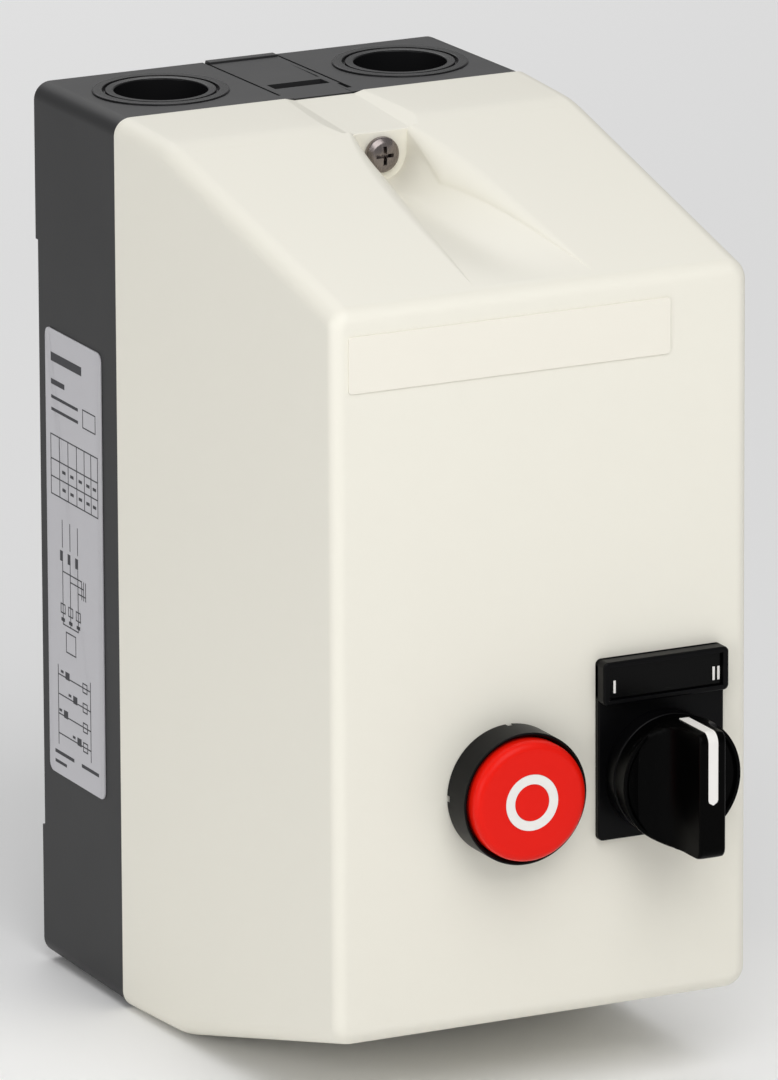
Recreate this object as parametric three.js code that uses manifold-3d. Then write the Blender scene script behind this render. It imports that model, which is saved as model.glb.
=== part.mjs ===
// Enclosed reversing motor starter: a wall-mounted plastic box that holds two small contactors and
// an overload relay, with a stop/reset button and a two-way selector switch on its front cover.
//
// Millimetres. x is to the right as seen from the front, z is up, and the wall is the plane y = 0.
// Places are given by their distance forward of the wall, so y = -forward.

import * as THREE from "three";
import { mergeVertices } from "three/addons/utils/BufferGeometryUtils.js";
import Module from "manifold-3d";

const wasm = await Module();
wasm.setup();

// ---------------------------------------------------------------- driving dimensions

// Enclosure: the width and height are overall, across the cover's rear edge.
const COVER_WIDTH = 100.8;
const COVER_HEIGHT = 200;
const SIDE_DRAFT = 1.2;
const STRIP_DRAFT = 0.9;
const SLOPE_DROP = 20;
const BASE_DRAFT_X = 0.45;
const BASE_DRAFT_Z = 0.55;
const BASE_DEPTH = 42;
const BODY_DEPTH = 146;
const TOP_STRIP = 23.2;
const BOTTOM_STRIP = 27;
const PARTING_STEP = 0.3;
const CORNER_RADIUS = 3.9;
const FRONT_CORNER_RADIUS = 4.4;
const FRONT_FILLET = 2.8;
const BASE_WALL = 2.8;
const COVER_WALL = 2.6;
const BACK_RELIEF = 1.2;
const FOOT_TOP = 35;
const FOOT_BOTTOM = 30;
const CENTRE_FOOT = 50;

// Rim: a tongue on the base enters a rebate in the cover and presses a seal.
const RIM_LIP = 1.5;
const TONGUE_LENGTH = 2.6;
const TONGUE_GAP = 0.3;
const SEAL_WIDTH = 0.9;
const SEAL_THICKNESS = 1.2;

// Knock-outs: two concentric sizes, two on top and two underneath.
const KNOCKOUT_X = 29;
const KNOCKOUT_FORWARD = BASE_DEPTH / 2;
const KNOCKOUT_SMALL = 20.5;
const KNOCKOUT_LARGE = 25.5;
const KNOCKOUT_RING = KNOCKOUT_LARGE + 4.5;
const KNOCKOUT_DEPTH = 8;
const KNOCKOUT_MEMBRANE = 1.6;
const RING_HEIGHT = 0.5;

// Panel between the two upper knock-outs.
const CENTRE_PANEL = 16.6;
const CENTRE_SLOT_WIDTH = CENTRE_PANEL - 3.4;
const CENTRE_SLOT_LENGTH = 4.5;
const CENTRE_DETAIL = {
  groove: 0.6,
  front: BASE_DEPTH - 4,
  ridge: { height: 0.45, depth: 2.4 },
  fieldFront: 25,
  slotRear: 27.3,
};

// Fixings.
const WALL_HOLE = 5.5;
const WALL_BOSS = 12;
const WALL_HOLE_X = COVER_WIDTH / 2 - 12.4;
const WALL_HOLE_Z = COVER_HEIGHT / 2 - 20;
const SCREW_Z = COVER_HEIGHT / 2 - 7.5;
const SCREW_HEAD = 8;
const SCREW_HEAD_HEIGHT = 2.3;
const SCREW_SHANK = 4;
const SCREW_PAST_INSERT = 3.75;
const INSERT_DIAMETER = 7;
const INSERT_LENGTH = 12;
const PILLAR_DIAMETER = 10;
const COVER_PILLAR_DIAMETER = 8.4;
const PARTING_GAP = 0.15;
const FACE_GAP = 0.05;

// Trough in the upper slope, which leads a screwdriver to the cover screw.
const POCKET_SETBACK = 4.4;
const TROUGH_LIP = 1.3;
const TROUGH_LIP_GROWTH = 0.27;
const TROUGH_NARROW = 7.6;
const TROUGH_WIDE = 14.3;
const TROUGH_GROWTH = 18;
const TROUGH_FLOOR_REAR = 6;
const TROUGH_END = 4.2;
const CHANNEL_WIDTH = 14.4;
const CHANNEL_WALL = 2;
const CHANNEL_DEPTH = { seam: 0.5, pocket: 0.6 };

// Tabs along the cover's lower edge.
const TAB_X = 12;
const TAB_WIDTH = 8;

// Controls on the front.
const CONTROL_Z = -28.6;
const STOP_X = -8.5;
const SELECTOR_X = 27.4;
const PANEL_HOLE = 22.3;
const BARREL = PANEL_HOLE - 0.5;
const BARREL_BORE = BARREL / 2 - 1.9;
const BEZEL = PANEL_HOLE + 6.7;
const BEZEL_DEPTH = 8.2;
const STOP_CAP = BEZEL - 2.5;
const STOP_CAP_FRONT = 11.5;
const STOP_TRAVEL = 4;
const STOP_RING_OUTER = 12.2;
const STOP_RING_INNER = 8.2;
const STOP_RING_INLAY = 0.35;
const PANEL_NUT = BARREL + 7.8;
const PANEL_NUT_THICKNESS = 6;
const NUT_GAP = 0.2;
const NUT_GROOVES = 6;
const PANEL_SEAL = 0.7;
const HOLDER_WIDTH = PANEL_HOLE + 7.7;
const HOLDER_HEIGHT = 40;
const HOLDER_PLATE = 1.5;
const HOLDER_HEAD = 4;
const HOLDER_HEAD_HEIGHT = 9.6;
const HOLDER_DROP = 14.1;
const LEGEND_WIDTH = HOLDER_WIDTH - 3;
const LEGEND_HEIGHT = 7;
const HANDLE_DIAMETER = PANEL_HOLE + 5.7;
const HANDLE_RIM = 11.3;
const HANDLE_GRIP = 14;
const GRIP_WIDTH = 6.2;
const MARKER_WIDTH = 3.3;
const MARKER_LENGTH = 15.8;

// Labels.
const NAMEPLATE = { margin: 3.6, drop: 5.5, width: 75.8, height: 12.3, thickness: 0.3 };
const RATING_LABEL = { rear: 5, front: 34, bottom: -55, top: 45.8, thickness: 0.25 };

// Devices inside.
const RAIL_Z = 32;
const RAIL_HEIGHT = 35;
const RAIL_DEPTH = 7.5;
const RAIL_SHEET = 1;
const RAIL_LENGTH = 88;
const RAIL_STAND_OFF = 9;
const CONTACTOR_WIDTH = 45;
const CONTACTOR_HEIGHT = 58;
const CONTACTOR_DEPTH = 57;
const CONTACTOR_SPACING = CONTACTOR_WIDTH + 2.4;
const TERMINAL_STEP = 12;
const POLE_PITCH = (CONTACTOR_WIDTH - 12) / 3;
const ARMATURE_TRAVEL = 3;
const RELAY_WIDTH = 45;
const RELAY_HEIGHT = 58.5;
const RELAY_DEPTH = 64;
const RELAY_REST = 8;
const CLEARANCE = 0.3;

// ---------------------------------------------------------------- colours and finishes

const FINISH = {
  ivory: { color: 0xefeadd, roughness: 0.42, metalness: 0 },
  charcoal: { color: 0x454545, roughness: 0.6, metalness: 0 },
  black: { color: 0x0e0e0e, roughness: 0.45, metalness: 0 },
  red: { color: 0xe6220f, roughness: 0.35, metalness: 0 },
  white: { color: 0xf2f2ee, roughness: 0.5, metalness: 0 },
  label: { color: 0xbebebe, roughness: 0.5, metalness: 0 },
  rubber: { color: 0x1c1c1c, roughness: 0.85, metalness: 0 },
  steel: { color: 0x9a9794, roughness: 0.35, metalness: 1 },
  brass: { color: 0xb8963f, roughness: 0.35, metalness: 1 },
  copper: { color: 0xb4663a, roughness: 0.4, metalness: 1 },
  device: { color: 0x2b2d30, roughness: 0.5, metalness: 0 },
  carrier: { color: 0xd9d4c4, roughness: 0.5, metalness: 0 },
};

// ---------------------------------------------------------------- geometry helpers

// A closed three.js geometry as a manifold solid with its faces outwards.
function solidOf(geometry) {
  const bare = geometry.clone();
  bare.deleteAttribute("normal");
  bare.deleteAttribute("uv");
  const merged = mergeVertices(bare, 1e-4);
  const index = merged.index.array;
  const triangles = [];
  for (let i = 0; i < index.length; i += 3) {
    const [a, b, c] = [index[i], index[i + 1], index[i + 2]];
    if (a !== b && b !== c && c !== a) triangles.push(a, b, c);
  }
  const vertProperties = new Float32Array(merged.attributes.position.array);
  const make = (triVerts) =>
    new wasm.Manifold(new wasm.Mesh({ numProp: 3, vertProperties, triVerts }));
  const solid = make(new Uint32Array(triangles));
  return solid.volume() < 0 ? make(new Uint32Array(triangles.reverse())) : solid;
}

function geometryOf(solid) {
  const mesh = solid.getMesh();
  const geometry = new THREE.BufferGeometry();
  const positions = new Float32Array(mesh.vertProperties);
  geometry.setAttribute("position", new THREE.BufferAttribute(positions, 3));
  geometry.setIndex(new THREE.BufferAttribute(new Uint32Array(mesh.triVerts), 1));
  geometry.computeVertexNormals();
  return geometry;
}

const join = (first, ...rest) => rest.reduce((whole, piece) => whole.add(piece), first);
const cut = (first, ...rest) => rest.reduce((whole, piece) => whole.subtract(piece), first);

// A box from x0 to x1, from forward f0 to f1 and from z0 to z1.
function box(x0, x1, f0, f1, z0, z1) {
  const geometry = new THREE.BoxGeometry(x1 - x0, f1 - f0, z1 - z0);
  geometry.translate((x0 + x1) / 2, -(f0 + f1) / 2, (z0 + z1) / 2);
  return solidOf(geometry);
}

// A box given by its middle and its size across x and z.
const block = (x, z, width, height, f0, f1) =>
  box(x - width / 2, x + width / 2, f0, f1, z - height / 2, z + height / 2);

function extruded(shape, depth, matrix, curveSegments) {
  const geometry = new THREE.ExtrudeGeometry(shape, { depth, bevelEnabled: false, curveSegments });
  geometry.applyMatrix4(matrix);
  return solidOf(geometry);
}

// A shape drawn in x and z, extruded from forward f0 to f1.
function prismForward(shape, f0, f1, curveSegments = 6) {
  const basis = new THREE.Matrix4().makeBasis(
    new THREE.Vector3(1, 0, 0),
    new THREE.Vector3(0, 0, 1),
    new THREE.Vector3(0, -1, 0),
  );
  return extruded(shape, f1 - f0, basis.setPosition(0, -f0, 0), curveSegments);
}

// A shape drawn in forward and z, extruded from x0 to x1.
function prismAcross(shape, x0, x1, curveSegments = 6) {
  const basis = new THREE.Matrix4().makeBasis(
    new THREE.Vector3(0, -1, 0),
    new THREE.Vector3(0, 0, 1),
    new THREE.Vector3(1, 0, 0),
  );
  return extruded(shape, x1 - x0, basis.setPosition(x0, 0, 0), curveSegments);
}

// A shape drawn in x and forward, extruded from z0 to z1.
function prismUp(shape, z0, z1, curveSegments = 6) {
  const basis = new THREE.Matrix4().makeBasis(
    new THREE.Vector3(1, 0, 0),
    new THREE.Vector3(0, -1, 0),
    new THREE.Vector3(0, 0, 1),
  );
  return extruded(shape, z1 - z0, basis.setPosition(0, 0, z0), curveSegments);
}

// A closed profile of [radius, forward] points turned about the forward axis through x and z.
function turned(profile, x, z, segments = 24) {
  const points = profile.map(([radius, forward]) => new THREE.Vector2(radius, -forward));
  const geometry = new THREE.LatheGeometry([...points, points[0]], segments);
  return solidOf(geometry.translate(x, 0, z));
}

const rod = (radius, f0, f1, x, z, segments = 16) =>
  turned([[0, f0], [radius, f0], [radius, f1], [0, f1]], x, z, segments);

const tube = (inner, outer, f0, f1, x, z, segments = 24) =>
  turned([[inner, f0], [outer, f0], [outer, f1], [inner, f1]], x, z, segments);

// An upright cylinder from z0 to z1.
function post(radius, z0, z1, x, forward, segments = 24) {
  const geometry = new THREE.CylinderGeometry(radius, radius, z1 - z0, segments);
  geometry.rotateX(Math.PI / 2).translate(x, -forward, (z0 + z1) / 2);
  return solidOf(geometry);
}

function roundedRectangle(u0, u1, v0, v1, r) {
  const shape = new THREE.Shape();
  const quarter = Math.PI / 2;
  shape.moveTo(u0 + r, v0);
  shape.lineTo(u1 - r, v0);
  shape.absarc(u1 - r, v0 + r, r, -quarter, 0);
  shape.lineTo(u1, v1 - r);
  shape.absarc(u1 - r, v1 - r, r, 0, quarter);
  shape.lineTo(u0 + r, v1);
  shape.absarc(u0 + r, v1 - r, r, quarter, 2 * quarter);
  shape.lineTo(u0, v0 + r);
  shape.absarc(u0 + r, v0 + r, r, 2 * quarter, 3 * quarter);
  return shape;
}

function polygon(points) {
  return new THREE.Shape(points.map(([u, v]) => new THREE.Vector2(u, v)));
}

// A solid through outlines of equal point count, each { f, outline } with [x, z] points.
function loft(stations) {
  const count = stations[0].outline.length;
  const positions = stations.flatMap(({ f, outline }) => outline.flatMap(([x, z]) => [x, -f, z]));
  const index = [];
  for (let s = 0; s + 1 < stations.length; s++)
    for (let i = 0; i < count; i++) {
      const j = (i + 1) % count;
      const [a, b, c, d] = [s * count + i, s * count + j, (s + 1) * count + i, (s + 1) * count + j];
      index.push(a, b, d, a, d, c);
    }
  const cap = (s, flip) => {
    const flat = stations[s].outline.map(([x, z]) => new THREE.Vector2(x, z));
    for (const face of THREE.ShapeUtils.triangulateShape(flat, [])) {
      const [a, b, c] = face.map((i) => i + s * count);
      index.push(...(flip ? [a, c, b] : [a, b, c]));
    }
  };
  cap(0, true);
  cap(stations.length - 1, false);
  const geometry = new THREE.BufferGeometry();
  geometry.setAttribute("position", new THREE.Float32BufferAttribute(positions, 3));
  geometry.setIndex(index);
  return solidOf(geometry);
}

const ARC_STEPS = 4;

// Outline of a rounded rectangle with ARC_STEPS chords at each corner, as [x, z] points.
function cornerOutline(halfWidth, bottom, top, radius) {
  const corners = [
    [halfWidth - radius, bottom + radius, -90],
    [halfWidth - radius, top - radius, 0],
    [-halfWidth + radius, top - radius, 90],
    [-halfWidth + radius, bottom + radius, 180],
  ];
  return corners.flatMap(([x, z, start]) =>
    Array.from({ length: ARC_STEPS + 1 }, (_, i) => {
      const angle = THREE.MathUtils.degToRad(start + (90 * i) / ARC_STEPS);
      return [x + radius * Math.cos(angle), z + radius * Math.sin(angle)];
    }),
  );
}

// A coil spring along the forward axis, with flat wire ends.
function spring(meanRadius, wire, f0, f1, x, z, turns) {
  const steps = Math.round(turns * 8);
  const points = Array.from({ length: steps + 1 }, (_, i) => {
    const angle = (2 * Math.PI * turns * i) / steps;
    const forward = THREE.MathUtils.lerp(f0 + wire, f1 - wire, i / steps);
    return new THREE.Vector3(
      x + meanRadius * Math.cos(angle),
      -forward,
      z + meanRadius * Math.sin(angle),
    );
  });
  const section = new THREE.Shape();
  section.absarc(0, 0, wire, 0, 2 * Math.PI);
  const geometry = new THREE.ExtrudeGeometry(section, {
    steps,
    curveSegments: 3,
    extrudePath: new THREE.CatmullRomCurve3(points),
  });
  return solidOf(geometry);
}

// ---------------------------------------------------------------- the object's group

const starter = new THREE.Group();

function add(name, finish, solid, parent = starter) {
  const mesh = new THREE.Mesh(geometryOf(solid), new THREE.MeshStandardMaterial(FINISH[finish]));
  mesh.name = name;
  parent.add(mesh);
  return solid;
}

// ---------------------------------------------------------------- enclosure outlines

const { lerp } = THREE.MathUtils;
const TOP_CREASE = BASE_DEPTH + TOP_STRIP;
const BOTTOM_CREASE = BASE_DEPTH + BOTTOM_STRIP;

const coverHalfWidth = (f) =>
  COVER_WIDTH / 2 - (SIDE_DRAFT * (f - BASE_DEPTH)) / (BODY_DEPTH - BASE_DEPTH);

// Half-height of the cover above or below the middle, with its crease at the given distance.
function coverHalfHeight(f, crease) {
  const rear = COVER_HEIGHT / 2;
  return f <= crease
    ? rear - (STRIP_DRAFT * (f - BASE_DEPTH)) / (crease - BASE_DEPTH)
    : lerp(rear - STRIP_DRAFT, rear - SLOPE_DROP, (f - crease) / (BODY_DEPTH - crease));
}

const coverTop = (f) => coverHalfHeight(f, TOP_CREASE);
const coverRadius = (f) =>
  lerp(CORNER_RADIUS, FRONT_CORNER_RADIUS, (f - BASE_DEPTH) / (BODY_DEPTH - BASE_DEPTH));

function coverStation(f, inset, at = f) {
  const outline = cornerOutline(
    coverHalfWidth(at) - inset,
    -coverHalfHeight(at, BOTTOM_CREASE) + inset,
    coverTop(at) - inset,
    Math.max(coverRadius(at) - inset, 0.6),
  );
  return { f, outline };
}

const baseHalfWidth = (f) =>
  COVER_WIDTH / 2 - PARTING_STEP - BASE_DRAFT_X * (1 - f / BASE_DEPTH);
const baseHalfHeight = (f) =>
  COVER_HEIGHT / 2 - PARTING_STEP - BASE_DRAFT_Z * (1 - f / BASE_DEPTH);

function baseStation(f, inset, at = f) {
  const half = baseHalfHeight(at) - inset;
  const radius = Math.max(CORNER_RADIUS - inset, 0.6);
  return { f, outline: cornerOutline(baseHalfWidth(at) - inset, -half, half, radius) };
}

// ---------------------------------------------------------------- base housing

const BASE_FLOOR = BACK_RELIEF + BASE_WALL;
const POCKET_WALL = TOP_CREASE + POCKET_SETBACK;
const SCREW_SEAT = POCKET_WALL + PARTING_GAP;
const TONGUE_INSET = RIM_LIP - PARTING_STEP + TONGUE_GAP;
const PILLAR_FRONT = BASE_DEPTH - 0.5;
const PILLAR_BORE = INSERT_DIAMETER / 2 + PARTING_GAP;
const INSERT_REAR = PILLAR_FRONT - INSERT_LENGTH - 2;
const SCREW_END = INSERT_REAR - SCREW_PAST_INSERT;
const RAIL_SCREW_X = RAIL_LENGTH / 2 - 6;
const RAIL_BOSS = 4.5;
const RAIL_SCREW_HOLE = 1.8;

// One knock-out: the material it adds to the wall and the spaces it takes away; up is 1 or -1.
function knockout(x, up) {
  const wall = baseHalfHeight(KNOCKOUT_FORWARD);
  const upright = (radius, inner, outer) => {
    const [low, high] = up > 0 ? [inner, outer] : [-outer, -inner];
    return post(radius, low, high, x, KNOCKOUT_FORWARD);
  };
  const cupBottom = wall - KNOCKOUT_DEPTH - KNOCKOUT_MEMBRANE;
  const ring = upright(KNOCKOUT_RING / 2, wall - 1, wall + RING_HEIGHT);
  const cup = upright(KNOCKOUT_LARGE / 2 - CLEARANCE, cupBottom, wall);
  const well = upright(KNOCKOUT_SMALL / 2, wall - KNOCKOUT_DEPTH, wall + 5);
  const groove = cut(
    upright(KNOCKOUT_LARGE / 2, wall - 0.3, wall + 5),
    upright(KNOCKOUT_LARGE / 2 - 0.6, wall - 1, wall + 6),
  );
  return { solid: ring.add(cup), space: well.add(groove) };
}

function baseHousing() {
  const outer = loft([baseStation(0, 0), baseStation(BASE_DEPTH, 0)]);
  const hollow = loft([
    baseStation(BASE_FLOOR, BASE_WALL),
    baseStation(BASE_DEPTH + 20, BASE_WALL, BASE_DEPTH),
  ]);
  const tongueEnd = BASE_DEPTH + TONGUE_LENGTH;
  const tongue = loft([
    baseStation(BASE_DEPTH - 1, TONGUE_INSET, BASE_DEPTH),
    baseStation(tongueEnd, TONGUE_INSET, BASE_DEPTH),
  ]);
  let base = cut(outer.add(tongue), hollow);

  // The back touches the wall at a top foot, a bottom foot and a square in the middle.
  const half = baseHalfHeight(0);
  const relief = cut(
    box(-COVER_WIDTH, COVER_WIDTH, -1, BACK_RELIEF, -half + FOOT_BOTTOM, half - FOOT_TOP),
    block(0, 0, CENTRE_FOOT, CENTRE_FOOT, -2, BACK_RELIEF + 1),
  );
  base = cut(base, relief);

  const outside = loft([baseStation(-5, 0, 0), baseStation(BASE_DEPTH, 0)]);
  const pillar = rod(PILLAR_DIAMETER / 2, BASE_FLOOR - 1, PILLAR_FRONT, 0, SCREW_Z, 20);
  base = join(base, pillar.intersect(outside));
  base = cut(
    base,
    rod(PILLAR_BORE, INSERT_REAR - 0.3, BASE_DEPTH + 1, 0, SCREW_Z, 20),
    rod(SCREW_SHANK / 2 + CLEARANCE, SCREW_END - 1, INSERT_REAR, 0, SCREW_Z),
  );
  for (const side of [-1, 1]) {
    const x = side * RAIL_SCREW_X;
    const boss = rod(RAIL_BOSS, BASE_FLOOR - 1, RAIL_STAND_OFF, x, RAIL_Z);
    const hole = rod(RAIL_SCREW_HOLE, BASE_FLOOR + 0.5, RAIL_STAND_OFF + 1, x, RAIL_Z);
    base = cut(join(base, boss), hole);
    for (const up of [-1, 1]) {
      const { solid, space } = knockout(side * KNOCKOUT_X, up);
      const [holeX, holeZ] = [side * WALL_HOLE_X, up * WALL_HOLE_Z];
      const wallBoss = rod(WALL_BOSS / 2, BASE_FLOOR - 1, BASE_FLOOR + 2, holeX, holeZ);
      const wallHole = rod(WALL_HOLE / 2, -1, BASE_FLOOR + 3, holeX, holeZ);
      base = cut(join(base, solid, wallBoss), space, wallHole);
    }
  }
  const relayRest = rod(RELAY_REST / 2, BASE_FLOOR - 1, RELAY_REAR - CLEARANCE, RELAY_X, RELAY_MIDDLE);
  base = join(base, relayRest);

  // Panel between the upper knock-outs: two grooves, a low ridge at the wall and a blind slot.
  const roof = baseHalfHeight(KNOCKOUT_FORWARD);
  const edge = CENTRE_PANEL / 2;
  const { groove, front, ridge, fieldFront, slotRear } = CENTRE_DETAIL;
  const upper = roof + 5;
  base = join(base, block(0, baseHalfHeight(0), CENTRE_PANEL, 2 * ridge.height, 0, ridge.depth));
  return cut(
    base,
    box(-edge - groove, -edge, -1, front, roof - groove, upper),
    box(edge, edge + groove, -1, front, roof - groove, upper),
    box(edge - groove, edge + groove, front - 5, front, roof - 2 * groove, upper),
    box(1 - edge, edge - 1, ridge.depth + 1, fieldFront, roof - 0.15, upper),
    box(-CENTRE_SLOT_WIDTH / 2, CENTRE_SLOT_WIDTH / 2, slotRear, slotRear + CENTRE_SLOT_LENGTH,
      roof - 1.9, upper),
  );
}

// ---------------------------------------------------------------- front cover

const TROUGH_FRONT = BODY_DEPTH - TROUGH_END;
const SEAL_REAR = BASE_DEPTH + TONGUE_LENGTH + FACE_GAP;
const REBATE_FRONT = SEAL_REAR + SEAL_THICKNESS + 0.15;

// The trough widens quickly and its floor rises to meet the slope near the front edge. Its sides
// roll over into the slope with a lip that grows along its run.
function troughStation(f, grow) {
  const run = Math.max(f - POCKET_WALL, 0);
  const spread = 1 - Math.exp(-run / TROUGH_GROWTH);
  const outer = lerp(TROUGH_NARROW, TROUGH_WIDE, spread) + grow;
  const crest = coverTop(Math.max(f, POCKET_WALL));
  const rearFloor = SCREW_Z - TROUGH_FLOOR_REAR;
  const frontFloor = coverTop(TROUGH_FRONT) - 0.06;
  const floor = lerp(rearFloor, frontFloor, run / (TROUGH_FRONT - POCKET_WALL)) - grow;
  const lip = Math.min(TROUGH_LIP + TROUGH_LIP_GROWTH * run, 0.65 * (crest - floor));
  const half = outer - lip;
  const bowl = Math.min(crest - lip - floor, half);
  const lipSteps = 3;
  const bowlSteps = 6;
  const side = [[outer, crest + 12]];
  for (let i = 0; i < lipSteps; i++) {
    const angle = (Math.PI / 2) * (i / lipSteps);
    side.push([outer - lip * Math.sin(angle), crest - lip + lip * Math.cos(angle)]);
  }
  for (let i = 0; i < bowlSteps; i++) {
    const angle = (Math.PI / 2) * (i / bowlSteps);
    side.push([half * Math.cos(angle), floor + bowl - bowl * Math.sin(angle)]);
  }
  const mirrored = side.map(([x, z]) => [-x, z]);
  return { f, outline: [...mirrored, [0, floor], ...side.reverse()] };
}

function trough(grow) {
  const count = 11;
  const rear = POCKET_WALL - grow;
  const stations = Array.from({ length: count }, (_, i) => {
    const share = (i / (count - 1)) ** 1.5;
    return troughStation(lerp(rear, TROUGH_FRONT, share), grow);
  });
  return loft(stations);
}

// A shallow channel with sloping sides leads along the top strip to the screw pocket.
function topChannel() {
  const station = (f, at, depth) => {
    const floor = coverTop(at) - depth;
    const half = CHANNEL_WIDTH / 2;
    const above = 4;
    const brim = half + (CHANNEL_WALL * (above + depth)) / depth;
    return { f, outline: [[-half, floor], [half, floor], [brim, floor + above + depth],
      [-brim, floor + above + depth]] };
  };
  return loft([
    station(BASE_DEPTH - 1, BASE_DEPTH, CHANNEL_DEPTH.seam),
    station(POCKET_WALL + 0.5, POCKET_WALL, CHANNEL_DEPTH.pocket),
  ]);
}

function coverShell(inset, rear) {
  const steps = 4;
  const radius = FRONT_FILLET - Math.min(inset, FRONT_FILLET - 0.8);
  const front = BODY_DEPTH - inset;
  const edge = front - radius;
  const stations = [rear, TOP_CREASE, BOTTOM_CREASE].map((f) => coverStation(f, inset));
  for (let i = 0; i <= steps; i++) {
    const angle = (Math.PI / 2) * (i / steps);
    const f = edge + radius * Math.sin(angle);
    stations.push(coverStation(f, inset + radius * (1 - Math.cos(angle))));
  }
  return loft(stations);
}

function frontCover() {
  const outer = coverShell(0, BASE_DEPTH + PARTING_GAP);
  const inner = join(
    loft([
      coverStation(BASE_DEPTH - 2, COVER_WALL, BASE_DEPTH),
      coverStation(BASE_DEPTH + 5, COVER_WALL),
    ]),
    coverShell(COVER_WALL, BASE_DEPTH + 4),
  );
  const pillar = rod(COVER_PILLAR_DIAMETER / 2, PILLAR_FRONT + 1, POCKET_WALL, 0, SCREW_Z);
  const troughSkin = trough(COVER_WALL - 0.4);
  const keep = join(troughSkin, pillar);
  let cover = cut(outer, cut(inner, keep));
  const rebate = loft([
    coverStation(BASE_DEPTH - 2, RIM_LIP, BASE_DEPTH),
    coverStation(REBATE_FRONT, RIM_LIP, BASE_DEPTH),
  ]);
  const land = loft([
    coverStation(REBATE_FRONT, RIM_LIP + 0.2),
    coverStation(REBATE_FRONT + 3, RIM_LIP + 0.2),
  ]);
  const landHollow = loft([
    coverStation(REBATE_FRONT - 1, COVER_WALL + 0.4, REBATE_FRONT),
    coverStation(REBATE_FRONT + 4, COVER_WALL + 0.4, REBATE_FRONT + 3),
  ]);
  cover = join(cover, cut(land, landHollow));
  cover = cut(cover, cut(rebate, pillar));

  // Two tabs along the bottom edge drop behind the base's lower wall.
  for (const side of [-1, 1]) {
    const floor = -coverHalfHeight(BASE_DEPTH + 6, BOTTOM_CREASE) + COVER_WALL;
    const [left, right] = [side * TAB_X - TAB_WIDTH / 2, side * TAB_X + TAB_WIDTH / 2];
    const front = REBATE_FRONT + 6;
    const root = box(left, right, REBATE_FRONT + 0.5, front, floor - 0.8, floor + 2.6);
    const tab = box(left, right, BASE_DEPTH - 6, front, floor + 1, floor + 2.6);
    cover = join(cover, root, tab);
  }
  const screwHole = rod(SCREW_SHANK / 2 + CLEARANCE, BASE_DEPTH - 5, POCKET_WALL + 5, 0, SCREW_Z);
  const panelHoles = [STOP_X, SELECTOR_X].map((x) =>
    rod(PANEL_HOLE / 2, BODY_DEPTH - 10, BODY_DEPTH + 5, x, CONTROL_Z, 24));
  return cut(cover, trough(0), topChannel(), screwHole, ...panelHoles);
}

function coverSeal() {
  const outer = loft([
    coverStation(SEAL_REAR, RIM_LIP + 0.15, BASE_DEPTH),
    coverStation(SEAL_REAR + SEAL_THICKNESS, RIM_LIP + 0.15, BASE_DEPTH),
  ]);
  const inset = RIM_LIP + 0.15 + SEAL_WIDTH;
  const inner = loft([
    coverStation(SEAL_REAR - 1, inset, BASE_DEPTH),
    coverStation(SEAL_REAR + SEAL_THICKNESS + 1, inset, BASE_DEPTH),
  ]);
  const pillarRadius = COVER_PILLAR_DIAMETER / 2 + CLEARANCE;
  return cut(outer, inner, rod(pillarRadius, BASE_DEPTH - 2, POCKET_WALL, 0, SCREW_Z));
}

function coverScrew() {
  const seat = SCREW_SEAT;
  const face = seat + SCREW_HEAD_HEIGHT;
  const head = SCREW_HEAD / 2;
  const shank = SCREW_SHANK / 2;
  const profile = [
    [0, SCREW_END],
    [shank - 0.5, SCREW_END],
    [shank, SCREW_END + 1],
    [shank, seat],
    [head, seat],
    [head, seat + SCREW_HEAD_HEIGHT * 0.45],
    [head * 0.85, seat + SCREW_HEAD_HEIGHT * 0.85],
    [head * 0.55, face],
    [0, face],
  ];
  const screw = turned(profile, 0, SCREW_Z, 20);
  const arm = SCREW_HEAD * 0.27;
  const slotWidth = 0.9;
  const slotDepth = 1.3;
  const crossA = block(0, SCREW_Z, 2 * arm, slotWidth, face - slotDepth, face + 1);
  const crossB = block(0, SCREW_Z, slotWidth, 2 * arm, face - slotDepth, face + 1);
  return cut(screw, crossA, crossB);
}

function screwInsert() {
  const [inner, outer] = [SCREW_SHANK / 2 + PARTING_GAP, INSERT_DIAMETER / 2];
  return tube(inner, outer, INSERT_REAR, INSERT_REAR + INSERT_LENGTH, 0, SCREW_Z);
}

// ---------------------------------------------------------------- labels

function frontNameplate() {
  const { margin, drop, width, height, thickness } = NAMEPLATE;
  const left = margin - coverHalfWidth(BODY_DEPTH);
  const top = coverTop(BODY_DEPTH) - drop;
  const face = BODY_DEPTH + FACE_GAP;
  const outline = roundedRectangle(left, left + width, top - height, top, 0.8);
  return prismForward(outline, face, face + thickness, 3);
}

// The rating label follows the drafted left side of the base.
function ratingLabel() {
  const { rear, front, bottom, top, thickness } = RATING_LABEL;
  const offset = -FACE_GAP - thickness;
  const outer = loft([baseStation(0, offset), baseStation(BASE_DEPTH, offset)]);
  const inner = loft([
    baseStation(-1, -FACE_GAP, 0),
    baseStation(BASE_DEPTH + 1, -FACE_GAP, BASE_DEPTH),
  ]);
  const patch = prismAcross(roundedRectangle(rear, front, bottom, top, 2), -COVER_WIDTH, 0, 5);
  return cut(outer, inner).intersect(patch);
}

// ---------------------------------------------------------------- stop button

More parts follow.
